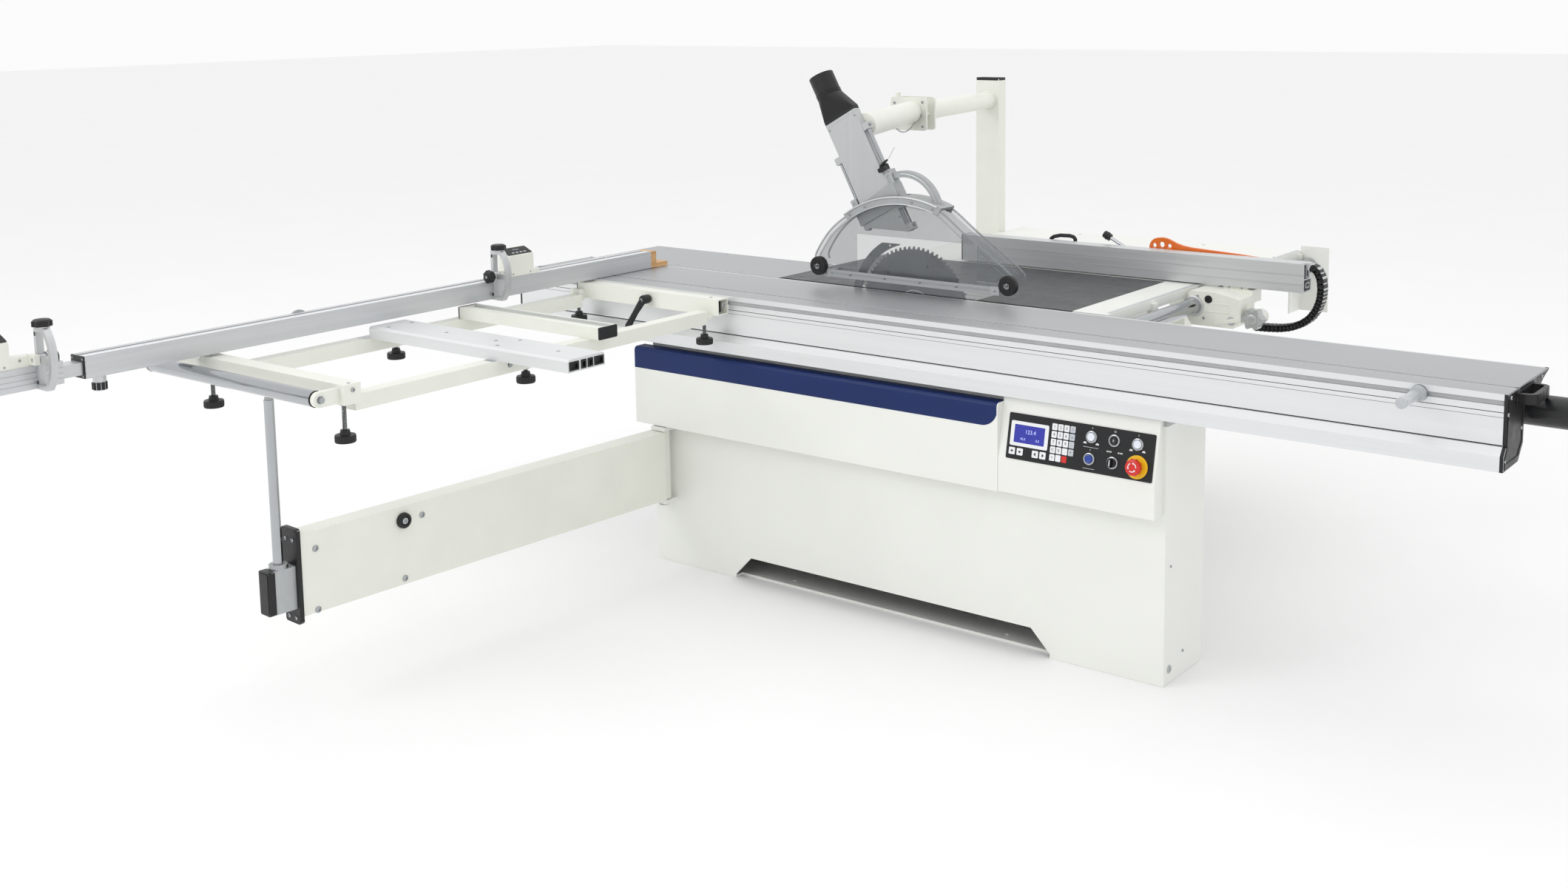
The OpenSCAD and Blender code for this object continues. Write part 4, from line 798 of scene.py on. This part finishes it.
heads("frame_side_screws", "carriage",
      (round_head, (6,), LEFT, [(-1160, -341, 876), (-1160, -1719, 880)]),
      (round_head, (6,), RIGHT, [(-560, -341, 876), (-560, -1719, 880)]),
      *((hex_head, (6, 5), way, [(x, y, 842)])
        for y in (-1192, -1152) for x, way in ((-1160, LEFT), (-584, RIGHT))))
bm = bmesh.new()
poly(bm, rect(-361.4, -321.6, 849.4, 890.6, 2), -588, -586, ALONG_X)
for y0 in (-366.6, -1744.6):
    prism(bm, rect(y0, y0 + 49.2, 845.4, 894.6, 3), -1161.2, -1160, ALONG_X)
put("bar_end_plugs", bm, BLACK, "carriage", bevel=0.3)
# roller ends
heads("roller_bolts", "carriage",
      *((hex_head, (8, 8), way, [(x, *ROLLER)]) for x, way in ((-1308, LEFT), (-578, RIGHT))))
bm = bmesh.new()
for x in (-1290, -596):
    lathe(bm, [(9, -1.5), (20.4, -1.5), (20.8, 0), (20.4, 1.5), (9, 1.5)], facing((x, *ROLLER), RIGHT), 48)
put("roller_rings", bm, BLACK, "roller")
# support bar: end cap, slot strip, clamp plate
bm = bmesh.new()
for x0, x1 in ((-553.2, -548), (-1138, -1132.8)):
    poly(bm, rect(-888.6, -815.4, 859.8, 895.6, 4), x0, x1, ALONG_X)
put("support_bar_caps", bm, BLACK, "bar", bevel=1.2)
bm = bmesh.new()
for y in (-866.4, -828.6):
    poly(bm, rect(-1127, -559, y - 1.2, y + 1.2), 890, 896.2)
poly(bm, rect(-1127, -559, -864, -831), 870.05, 870.6)
put("support_bar_slot", bm, ALU, "bar")
heads("support_bar_screws", "bar", (round_head, (7,), UP, [(x, -848, 870.6) for x in (-1020, -840, -660)]))
# clamp lever: tapered handle and hub
bm = bmesh.new()
lathe(bm, [(0, -4), (9, -4), (13, -1), (14.5, 6), (14.5, 24), (12.6, 29), (9, 31), (0, 31.6)],
      facing((-842, -371, 872), NEAR), 40)
tube(bm, [(-842, -393, 872), (-852, -398, 856), (-866, -404, 832), (-879, -411, 806), (-888, -416, 788),
          (-893, -418, 778)], [11.5, 11, 9.4, 9.8, 10.8, 7.5], 20)
put("clamp_grip", bm, BLACK, "clamp", bevel=0.5)
turned("clamp_screw", [(0, 31), (6, 31), (6, 33.4), (3, 33.4), (2.8, 32), (0, 32)],
       facing((-842, -371, 872), NEAR), STEEL, "clamp", seg=6)

# ---------------------------------------------------------------- crosscut fence
slab("fence_scale", rect(-1138, -1124, -2078, -60), FENCE_TOP, FENCE_TOP + 0.45, KEY, "fence")
bm = bmesh.new()
marks(bm, FENCE_MARKS_X, -66, -10, 201, FENCE_TOP + 0.6, (11, 8, 5))
put("fence_scale_marks", bm, INK, "fence", solid=False)
bm = bmesh.new()
poly(bm, [(-1122.4, 948), (-1120.9, 948), (-1120.9, 949.6), (-1122.4, 949.6)], -2080, -55, ALONG_Y)
poly(bm, rect(-1121, -1120.4, 904, 946.5, 0.2), -2080, -55, ALONG_Y)
put("fence_face_band", bm, ALU_Y, "fence", "cast_table")
slab("fence_end_plate", rect(-1180.6, -1121.4, 902.4, 957.6, 1.5), -2084, -2081, BLACK, "fence", at=ALONG_Y,
     holes=[rect(-1171, -1129, 913, 941, 2)], bevel=0.4)
heads("fence_screws", "fence", (round_head, (3,), NEAR, [(x, -2084, z) for z in (908, 950) for x in (-1174, -1128)]),
      (flat_head, (8,), UP, [(-1151, -232, FENCE_TOP)]))
turned("fence_rear_disc", [(0, 0), (34, 0), (34, 5), (31, 8), (12, 8.5), (10, 13), (0, 13.5)],
       facing((-1181.2, -1420, 931), LEFT), GREY_PLASTIC, "fence", seg=48)
bm = bmesh.new()
at = Matrix.Translation((-1151, -2030, 0))
prism(bm, ring(17.4, 72, lobes=9, amp=1.6), 864, 882, at)
lathe(bm, [(0, 860.5), (12, 861), (16, 864), (0, 864)], at, 36)
lathe(bm, [(17, 882), (12, 886), (8, 896), (7, 901.6), (0, 901.6)], at, 36)
put("fence_foot_knob", bm, BLACK, "fence")
slab("extension_scale", rect(-1138, -1124, -2945, -2141), FENCE_TOP, FENCE_TOP + 0.45, KEY, "extension")
bm = bmesh.new()
marks(bm, FENCE_MARKS_X, -2143, -10, 81, FENCE_TOP + 0.6, (11, 8, 5))
put("extension_scale_marks", bm, INK, "extension", solid=False)
heads("extension_screws", "extension", (round_head, (5,), NEAR, [(x, -2950, 931) for x in (-1165, -1137)]))

# flip stops: readout, knobs, pinch plate
for tag, y, d in (("1", -749.5, 1), ("2", -2204.5, -1)):
    body, flip = "stop_" + tag, "flip_" + tag
    lo, hi = sorted((y + d * 66, y + d * 154))
    bm = bmesh.new()
    at = basis((-1145.5, 0, 1033), (0, 1, 0), (-0.9138, 0, 0.4061), (0.4061, 0, 0.9138))
    poly(bm, rect(lo - 6, hi + 6, -20, 20, 4), 0.05, 1.6, at)
    put("readout_bezel_" + tag, bm, BLACK, body, bevel=0.5)
    bm = bmesh.new()
    poly(bm, rect(lo + 14, hi - 14, -2, 12, 1), 1.55, 1.9, at)
    put("readout_glass_" + tag, bm, DARK_GREY, body, "panel")
    bm = bmesh.new()
    words(bm, "0750.0" if tag == "1" else "2190.0", at, 9, (lo + hi) / 2, 5, 2.0)
    put("readout_digits_" + tag, bm, KEY_GREY, body, solid=False)
    bm = bmesh.new()
    for k in range(4):
        poly(bm, rect(lo + 16 + k * 16, lo + 26 + k * 16, -14, -8, 1.5), 1.5, 2.3, at)
    put("readout_keys_" + tag, bm, GREY_PLASTIC, body, "white_plastic", bevel=0.3)
    bm = bmesh.new()
    for yy in (lo + 8, hi - 8):
        round_head(bm, facing((-1123, yy, 966), RIGHT), 2.6)
    round_head(bm, facing((-1124, y + d * 36, 976), RIGHT), 3.4)
    put("stop_screws_" + tag, bm, STEEL, body)
    bm = bmesh.new()
    yc = y - 9.5 * d
    at = Matrix.Translation((-1094.5, yc, 0))
    prism(bm, ring(22.5, 84, lobes=7, amp=1.5), 1056, 1069, at)
    lathe(bm, [(0, 1052.6), (8, 1052.6), (8.6, 1054.5), (15, 1056), (0, 1056)], at, 36)
    lathe(bm, [(21.6, 1069), (18.4, 1072), (8, 1073.4), (0, 1073.6)], at, 36)
    at = facing((-1109, yc - 10 * d, 975), (0, -d, 0))
    prism(bm, ring(19.4, 84, lobes=7, amp=1.2), 12, 24, at)
    lathe(bm, [(9.3, -1), (10, 0), (16.2, 6), (16.2, 12), (0, 12)], at, 36)
    lathe(bm, [(18.8, 24), (15, 27), (6, 28.2), (0, 28.4)], at, 36)
    put("stop_knobs_" + tag, bm, BLACK, flip, bevel=0.3)
    bm = bmesh.new()
    for z in (918, 1036):
        poly(bm, rect(-1119, -1112, z - 5, z + 5, 2), yc - 9.6, yc + 9.6, ALONG_Y)
    put("stop_pads_" + tag, bm, BLACK, flip, bevel=0.4)
    bm = bmesh.new()
    lathe(bm, [(0, 0), (4.4, 0), (4.4, 1.2), (2.4, 1.2), (2.2, 0.3), (0, 0.3)],
          facing((-1109, yc - 38.5 * d, 975), (0, -d, 0)), 24)
    put("stop_knob_screws_" + tag, bm, STEEL, flip)

# ---------------------------------------------------------------- swinging arm
A = ARM_AT
heads("arm_screws", "arm",
      *((round_head, (9, 0.5), (side, 0, 0), [(30 * side, y, z)])
        for y, z in ((1288, 395), (1289, 229), (1015, 239), (951, 403)) for side in (1, -1)),
      (round_head, (5.5,), FAR, [(x, 1345.4, z) for z in (428, 219) for x in (-16, 16)]), at=A)
turned("arm_bumper", [(0, 0), (21, 0), (22, 2), (21, 10), (18, 12.5), (12, 13), (11, 8), (0, 8)],
       A @ facing(ARM_BUMPER, RIGHT), BLACK, "arm", seg=48)
turned("arm_bumper_screw", [(0, 8), (9, 8), (9, 11.5), (4.5, 11.5), (4.2, 9.5), (0, 9.5)],
       A @ facing(ARM_BUMPER, RIGHT), STEEL, "arm", seg=28)
slab("arm_end_plate", rect(-33.8, 33.8, 203, 459, 8), 1332.4, 1345.5, BLACK, "arm", at=A @ ALONG_Y,
     holes=[rect(-24, 24, 242.6, 362.4, 2)], bevel=1.0)
bm = bmesh.new()
poly(bm, rect(-23, 23, 244, 361, 5), 1404, 1424, A @ ALONG_Y)
poly(bm, rect(-19, 19, 249, 356, 4), 1423.9, 1425.4, A @ ALONG_Y)
put("arm_tube_cap", bm, BLACK, "arm_inner", bevel=1.2, seg=3)
turned("post_chrome", [(0, 372.1), (13.0, 372.1), (13.0, 805), (11, 806.2), (0, 806.2)],
       spot(A, *ARM_POST), CHROME, "arm_inner")
turned("post_foot", [(13, 372), (23, 372), (24.6, 369), (24.6, 361), (0, 360.5)],
       spot(A, *ARM_POST), STEEL, "arm_inner", seg=48)
bm = bmesh.new()
lathe(bm, [(0, 458), (15, 458), (15, 461), (9, 461), (9, 466), (0, 466.6)], spot(ALONG_Z, *ARM_PIVOT), 36)
lathe(bm, [(0, 200), (15, 200), (15, 203), (0, 203)], spot(ALONG_Z, *ARM_PIVOT), 36)
for z in (214, 451):
    for x in (-850, -810):
        hex_head(bm, facing((x, -303, z), NEAR), 4.2, 4)
put("arm_pivot_caps", bm, STEEL, "base")

# ---------------------------------------------------------------- saw unit
bm = bmesh.new()
at = basis(BLADE_CENTRE, RIGHT, UP, FAR)
for i in range(72):
    a0 = i * TAU / 72
    pts = [(r * C(a0 + t), r * S(a0 + t))
           for r, t in ((199.9, 0.0006), (193.5, 0.0012), (194.5, 0.012), (199.4, 0.018))]
    poly(bm, pts, -1.9, 1.9, at)
put("blade_tips", bm, CARBIDE, "arbor", "ground_steel")
# painted shade: dark grey sheets fill the blade's open expansion slots and their end holes
bm = bmesh.new()
for i in range(6):
    a0 = i * TAU / 6 + 0.2
    for k in range(9):
        t0, t1 = a0 + k * 0.012, a0 + (k + 1) * 0.012
        r0, r1 = 150 + k * 4.4, 150 + (k + 1) * 4.4
        q = [(r0 * C(t0), r0 * S(t0)), (r1 * C(t1), r1 * S(t1)), ((r1 + .7) * C(t1 + .007), (r1 + .7) * S(t1 + .007)),
             ((r0 + .7) * C(t0 + .007), (r0 + .7) * S(t0 + .007))]
        poly(bm, q, -1.68, 1.68, at)
    poly(bm, ring(4, 20, 149 * C(a0), 149 * S(a0)), -1.68, 1.68, at)
put("blade_slot_shade", bm, DARK_GREY, "arbor")
bm = bmesh.new()
lathe(bm, [(62, -1.7), (66, -1.75), (66, -1.6), (62, -1.6)], at, 72)
lathe(bm, [(30, -6.6), (28, -7.2), (15, -7.2), (15, -6.6)], at, 48)
lathe(bm, [(0, -15.6), (9, -15.6), (11.5, -14.8), (11.5, -14), (0, -14)], at, 32)
put("arbor_flange_trim", bm, STEEL, "arbor")
heads("knife_bolts", "head", (hex_head, (5.5, 5), NEAR, [(x, 36.4, z) for x, z in ((-332, 715), (-332, 740))]))
turned("knife_hole_ring", [(2.6, -0.2), (4.0, -0.2), (4.3, 0.1), (3.6, 0.2), (2.6, 0.2)],
       facing((-201, 36.4, 1041), NEAR), STEEL, "head", seg=24)

# ---------------------------------------------------------------- rip fence
bm = bmesh.new()
prism(bm, ring(29, 120, lobes=6, amp=4.2), 560.5, 592, spot(ALONG_Y, 753, 826))
put("rip_knob_lobes", bm, CAST, "rip_knob", bevel=2.2, seg=3)
turned("rip_knob_cap", [(0, 1.5), (13.5, 1.5), (15.5, 0.6), (15.5, -0.4), (0, -0.4)],
       facing((753, 560, 826), NEAR), CAST, "rip_knob")
for name, r, place, mat, slot in (("rip_bearing_plug", 12, (620, 548, 877), BLACK, "black_tube"),
                                  ("rip_bearing_cap", 13, (694, 548, 817), GREY_PLASTIC, "anodised")):
    turned(name, [(0, 0), (r, 0), (r + 0.4, 1), (r - 1, 2.6), (7, 2.8), (6.4, 1.4), (0, 1.2)],
           facing(place, NEAR), mat, "rip", slot)
turned("rip_collar", [(25.2, 0), (33, 0), (33.4, 1), (33, 5), (30.5, 6.5), (25.2, 6.5)],
       facing((GUIDE_BAR[0], 548, GUIDE_BAR[1]), NEAR), CAST, "rip", seg=64)
bm = bmesh.new()
prism(bm, rect(596, 690, 838, 868, 8), 546.6, 548.2, ALONG_Y, holes=[rect(602, 684, 843, 863, 5)])
prism(bm, [(640, 800), (716, 816), (716, 830), (640, 812)], 545, 548.2, ALONG_Y)
put("rip_casting_ribs", bm, WHITE2, "rip", bevel=0.8)
heads("rip_screws", "rip", (round_head, (4.5,), NEAR, [(606, 548, 818), (585, 548, 884)]),
      (round_head, (3,), NEAR, [(640, 655, 902), (680, 655, 902)]))
# links over the cable chain
bm, bp = bmesh.new(), bmesh.new()
knots = [(722, 783), (760, 784), (800, 787), (834, 794), (866, 808), (892, 828), (911, 855), (922, 886), (925, 920),
         (921, 952), (908, 976), (892, 983)]
path = []
for (x0, z0), (x1, z1) in zip(knots, knots[1:]):
    n_ = max(1, round(math.hypot(x1 - x0, z1 - z0) / 13))
    path += [(x0 + (x1 - x0) * k / n_, z0 + (z1 - z0) * k / n_) for k in range(n_)]
path.append(knots[-1])
for i, (x, z) in enumerate(path[:-1]):
    x1, z1 = path[i + 1]
    d = Vector((x1 - x, 0, z1 - z))
    l, d = d.length, d.normalized()
    nrm = Vector((-d.z, 0, d.x))
    at = basis((x, 0, z), d, nrm, (0, 1, 0))
    for y0, y1 in ((659.6, 662.4), (691.6, 694.4)):
        side = [(-3, -8.6), (l - 1.2, -10.4), (l + 1.5, -6), (l + 1.5, 6), (l - 1.2, 10.4), (-3, 8.6)]
        poly(bm, side, y0, y1, at)
    for s in (-1, 1):
        poly(bm, rect(1.5, l - 3, s * 10.1 - 0.9, s * 10.1 + 0.9, 0.4), 661, 693, at)
    for y, dy in ((659.6, -1), (694.4, 1)):
        lathe(bp, [(0, 0), (2.6, 0), (2.4, 0.9), (0, 1.1)], facing((x + d.x * 2, y, z + d.z * 2), (0, dy, 0)), 12)
put("chain_links", bm, BLACK, "rip_profile", bevel=0.35)
put("chain_pins", bp, DARK_GREY, "rip_profile", "black_tube")
bm = bmesh.new()
for y0, y1, z0, z1 in ((662, 692, 918, 936), (662, 684, 950, 984)):
    prism(bm, rect(y0, y1, z0, z1, 3), 876, 878.5, ALONG_X, holes=[rect(y0 + 4, y1 - 4, z0 + 4, z1 - 4, 2)])
put("profile_end_frames", bm, ALU_TOP, "rip_profile", bevel=0.4)
bm = bmesh.new()
prism(bm, rect(649.6, 710.4, 904.7, 993.3, 2), -328, -324, ALONG_X)
put("profile_end_cap", bm, BLACK, "rip_profile", bevel=0.8)
heads("profile_end_screws", "rip_profile", (round_head, (3.2,), LEFT,
      [(-328, y, z) for y, z in ((658, 913), (658, 985), (702, 913), (702, 985))]))
bm = bmesh.new()
tube(bm, [(-22, 721, 985), (-20, 721, 994), (-10, 721, 1001), (14, 721, 1007), (50, 721, 1008), (64, 721, 1005),
          (70, 721, 998), (70, 721, 985)], 6.5, 18)
for x in (-21, 70):
    poly(bm, rect(x - 10, x + 10, 710.1, 729, 4), 980, 990)
put("profile_handle", bm, BLACK, "rip_profile", bevel=0.8)
slab("profile_back_strip", [(710.1, 953), (711.6, 953), (711.6, 991), (710.1, 991)], -304, 856,
     ALU_RIP, "rip_profile", at=ALONG_X)
bm = bmesh.new()
at = facing((186, 725, 1018), (-0.9, 0.07, 0.43))
lathe(bm, [(0, -13.6), (5.6, -13.2), (9.5, -9.8), (12.6, -5), (13.6, 0), (12.6, 5), (9.8, 9.4), (5.6, 12.6),
           (0, 13.6)], at, 36)
lathe(bm, [(0, 0), (12, 0), (12.6, 1.2), (12.6, 4), (10, 6), (0, 6.6)], facing((282, 719, 972), FAR), 36)
put("lever_ball", bm, BLACK, "rip_lever")
bm = bmesh.new()
tube(bm, [(280, 717.2, 973), (262, 718.6, 981.6), (196, 724.1, 1013.1)], 5.4, 16)
put("lever_rod", bm, CHROME, "rip_lever")
bm = bmesh.new()
STICK = [(334, 992), (336, 1004), (341, 1013), (350, 1021), (362, 1025), (380, 1027), (396, 1025), (412, 1019),
         (428, 1012), (450, 1006), (480, 1002), (560, 998), (640, 994), (698, 990), (702, 986), (702, 981),
         (640, 980), (560, 982), (480, 984), (450, 980), (424, 973), (400, 968), (376, 966), (358, 970),
         (344, 977), (337, 985)]
prism(bm, STICK, 725.8, 736.2, ALONG_Y,
      holes=[ring(7, 20, 352, 1000), ring(9, 24, 378, 1004), ring(7, 20, 404, 1001)])
o = put("push_stick_body", bm, ORANGE, "push_stick", bevel=1.6, seg=3)
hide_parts("push_stick")
bm = bmesh.new()
prism(bm, [(440, 985), (680, 983), (680, 988), (440, 999)], 725, 737, ALONG_Y,
      holes=[[(452, 988), (664, 985), (664, 986.5), (452, 995)]])
prism(bm, ring(10, 28, 410, 988), 710.2, 726, ALONG_Y, holes=[ring(4, 20, 410, 988)])
put("push_stick_rib", bm, ORANGE, "push_stick", bevel=0.4)

# ---------------------------------------------------------------- hood
OUT = [(-428, 952), (-461, 975), (-461, 1001), (-413, 1069), (-356, 1117), (-282, 1158), (-215, 1179), (-150, 1187),
       (-68, 1182), (1, 1166), (91, 1102), (169, 1050), (250, 992), (250, 970), (207, 952)]


def grow(o, d):
    """Outline moved outwards by d (its points run anticlockwise or clockwise)."""
    area = sum(a[0] * b[1] - b[0] * a[1] for a, b in zip(o, o[1:] + o[:1]))
    s = 1 if area > 0 else -1
    out = []
    for i, p_ in enumerate(o):
        a, b = Vector(o[i - 1]), Vector(o[(i + 1) % len(o)])
        p_ = Vector(p_)
        n1 = Vector(((p_ - a).y, -(p_ - a).x)).normalized() * s
        n2 = Vector(((b - p_).y, -(b - p_).x)).normalized() * s
        m_ = (n1 + n2).normalized()
        out.append(tuple(p_ + m_ * d / max(0.5, m_.dot(n1))))
    return out


def spline(o, n=6):
    """Catmull-Rom points through an open outline."""
    out = []
    for i in range(len(o) - 1):
        p0, p1, p2, p3 = (Vector(o[max(i - 1, 0)]), Vector(o[i]), Vector(o[i + 1]), Vector(o[min(i + 2, len(o) - 1)]))
        for k in range(n):
            t = k / n
            out.append(tuple(0.5 * ((2 * p1) + (p2 - p0) * t + (2 * p0 - 5 * p1 + 4 * p2 - p3) * t * t +
                                    (3 * p1 - p0 - 3 * p2 + p3) * t ** 3)))
    return out + [tuple(o[-1])]


# moulded beads along the shell's edge, and a second line inside it
arc = spline(OUT[1:-1], 5)
bm = bmesh.new()
for y in (3.2, 72.8):
    tube(bm, [(x, y, z) for x, z in arc], 3.0, 10)
put("hood_edge_beads", bm, CLEAR_EDGE, "hood")
bm = bmesh.new()
inner = grow(spline(OUT[1:-1], 5), -17)
tube(bm, [(x, 2.6, z) for x, z in inner[3:-4]], 1.1, 8)
put("hood_inner_line", bm, CLEAR_EDGE, "hood")
# near bottom rail with its end blocks
slab("hood_rail_face", rect(-429, 209, 930, 953.5, 2), 0.6, 3.0, ALU_TOP, "hood", at=ALONG_Y,
     holes=[rect(-400, 180, 939, 945, 2.5)], bevel=0.5)
bm = bmesh.new()
for x0, x1 in ((-432, -404), (182, 212)):
    poly(bm, rect(x0, x1, 929, 954.5, 3), -0.6, 2.9, ALONG_Y)
put("hood_rail_ends", bm, GREY_PLASTIC, "hood", bevel=0.8)
heads("hood_rail_screws", "hood", (round_head, (3.4,), NEAR,
      [(x, -0.6 if x in (-418, 196) else 0.6, 942) for x in (-418, -330, -200, -70, 60, 196)]))
for tag, x in (("front", 246), ("rear", -444)):
    bm = bmesh.new()
    at = facing((x, 2.4, 963), NEAR)
    lathe(bm, [(10, 0), (25, 0), (28.6, 0.6), (29.6, 3), (29.6, 13.6), (28.6, 16), (24.4, 17), (21.6, 14.6),
               (11.8, 14.6), (10.6, 16.4), (10, 16.4)], at, 64)
    put("wheel_tyre_" + tag, bm, BLACK, "wheel_" + tag)
    bm = bmesh.new()
    for k in range(6):
        a0 = TAU * k / 6
        q = [(r * C(a0 + t), r * S(a0 + t)) for r, t in ((5, -0.45), (20.5, -0.1), (20.5, 0.1), (5, 0.45))]
        poly(bm, q, 14.4, 17.0, at)
    put("wheel_spokes_" + tag, bm, BLACK, "wheel_" + tag, bevel=0.3)
    bm = bmesh.new()
    star = [(9 if k % 2 else 5.6) for k in range(12)]
    poly(bm, [(r * C(TAU * k / 12), r * S(TAU * k / 12)) for k, r in enumerate(star)], 16.6, 18.4, at)
    lathe(bm, [(0, 18.4), (4, 18.4), (3.6, 20.2), (0, 20.6)], at, 24)
    tube(bm, [at @ Vector(v) for v in ((-7, 5, 19), (-10, 0, 19.4), (-7, -6, 19), (2, -9, 19), (8, -6, 19))], 0.8, 8)
    put("wheel_hub_" + tag, bm, CHROME, "wheel_" + tag, "ground_steel")
# cast crown: bright edge ribs, bolts
def arc_at(y, r, cx, cz, a0, a1):
    """Points of an arc at one y, three degrees apart."""
    return [(x, y, z) for x, z in (polar(r, a, cx, cz) for a in range(a0, a1, 3))]


bm = bmesh.new()
for y in (-0.3, 76.3):
    tube(bm, arc_at(y, 376, *CROWN_C, 70, 126), 3.2, 10)
    tube(bm, arc_at(y, 354.5, *CROWN_C, 71, 125), 1.8, 8)
put("crown_ribs", bm, CAST, "hood", "duct")
bm = bmesh.new()
for a in (72, 84, 112, 122):
    x, z = polar(365, a, *CROWN_C)
    round_head(bm, facing((x, 0, z), NEAR), 4)
put("crown_screws", bm, STEEL, "hood")
# gusset in front of the duct between the slide blocks, grey block covers
bm = bmesh.new()
prism(bm, [(-86, 56), (88, 56), (88, 124), (62, 126), (-86, 114)], 17.4, 19, DUCT_PLANE)
put("slide_gusset", bm, CROWN, "hood", "duct", bevel=0.6)
bm = bmesh.new()
prism(bm, rect(64.4, 91.5, 44, 169, 4), 20.4, 22.2, DUCT_PLANE, holes=[rect(72, 84, 126, 152, 3)])
prism(bm, rect(-89.5, -66.5, 116, 142, 3), 20.4, 22.2, DUCT_PLANE, holes=[ring(4, 20, -78, 129)])
put("slide_block_covers", bm, GREY_PLASTIC, "hood", bevel=0.5)
heads("slide_screws", "hood", (round_head, (2.6,), NEAR,
      [(u, 20.4, v) for u, v in ((68.6, 119), (87.4, 119), (68.6, 162), (87.4, 162))]), at=DUCT_AT)
bm = bmesh.new()
tube(bm, [DUCT_AT @ Vector(v) for v in ((66, 16, 176), (76, 12, 186), (92, 10, 190), (108, 10, 192))],
     [5, 5.4, 4.2, 3.2], 14)
lathe(bm, [(6.6, 170.2), (10, 170.2), (11, 173), (11, 188), (8, 192), (6.6, 192)],
      spot(DUCT_AT, RODS[1][1], DUCT_MID), 32)
poly(bm, rect(60, 86, 169, 182, 3), 8, 30, DUCT_PLANE)
put("slide_lock_lever", bm, BLACK, "hood", bevel=0.4)
bm = bmesh.new()
tube(bm, [DUCT_AT @ Vector(v) for v in ((108, 10, 192), (120, 10, 197), (134, 11, 206), (150, 12, 214))], 0.8, 8)
put("slide_wire", bm, STEEL, "hood")
# inner groove line of the loop handle
bm = bmesh.new()
for y in (27.6, 48.4):
    tube(bm, arc_at(y, 120, -140, 1146, 16, 99), 2.2, 8)
put("handle_beads", bm, CAST, "hood", "duct")

# ---------------------------------------------------------------- camera, floor, light
cam_data = bpy.data.cameras.new("camera")
cam_data.sensor_width = 36
cam_data.lens = 38.62722
cam_data.shift_x, cam_data.shift_y = -0.011544, -0.135249
cam_data.clip_end = 200
cam = bpy.data.objects.new("camera", cam_data)
scene.collection.objects.link(cam)
az, el, roll = (math.radians(v) for v in (37.7558, 7.92716, -0.75822))
back = Vector((S(az) * C(el), -C(az) * C(el), S(el)))
right = Vector((C(az), S(az), 0))
up = back.cross(right)
cam.matrix_world = basis((2.72919, -4.18889, 1.80208), C(roll) * right + S(roll) * up,
                         C(roll) * up - S(roll) * right, back)
scene.camera = cam

bm = bmesh.new()
bmesh.ops.create_grid(bm, x_segments=8, y_segments=8, size=45)
me = bpy.data.meshes.new("floor")
bm.to_mesh(me)
bm.free()
floor = bpy.data.objects.new("floor", me)
floor.location.z = -0.0005
scene.collection.objects.link(floor)
me.materials.append(material("floor_paint", (246, 246, 246), 0.75, var=0.006, grain=2, bump=0.02))

world = bpy.data.worlds.new("studio")
scene.world = world
world.use_nodes = True
wn = world.node_tree.nodes
wn["Background"].inputs["Color"].default_value = (1, 1, 1, 1)
wn["Background"].inputs["Strength"].default_value = 0.97


def area(name, at, target, size, power):
    """Rectangular light aimed at a point."""
    d = bpy.data.lights.new(name, "AREA")
    d.shape = "RECTANGLE"
    d.size, d.size_y = size
    d.energy = power
    o = bpy.data.objects.new(name, d)
    o.location = at
    o.rotation_euler = (Vector(target) - Vector(at)).to_track_quat("-Z", "Y").to_euler()
    scene.collection.objects.link(o)


area("key", (-3.5, -6.0, 5.5), (0, -0.4, 0.6), (4.0, 3.0), 105)
area("top", (0.5, 0.5, 6.0), (0, 0, 0.8), (6.0, 6.0), 45)
area("side", (6.5, -1.5, 3.2), (0.4, 0, 0.7), (2.5, 3.5), 8)
scene.view_settings.view_transform = "Standard"
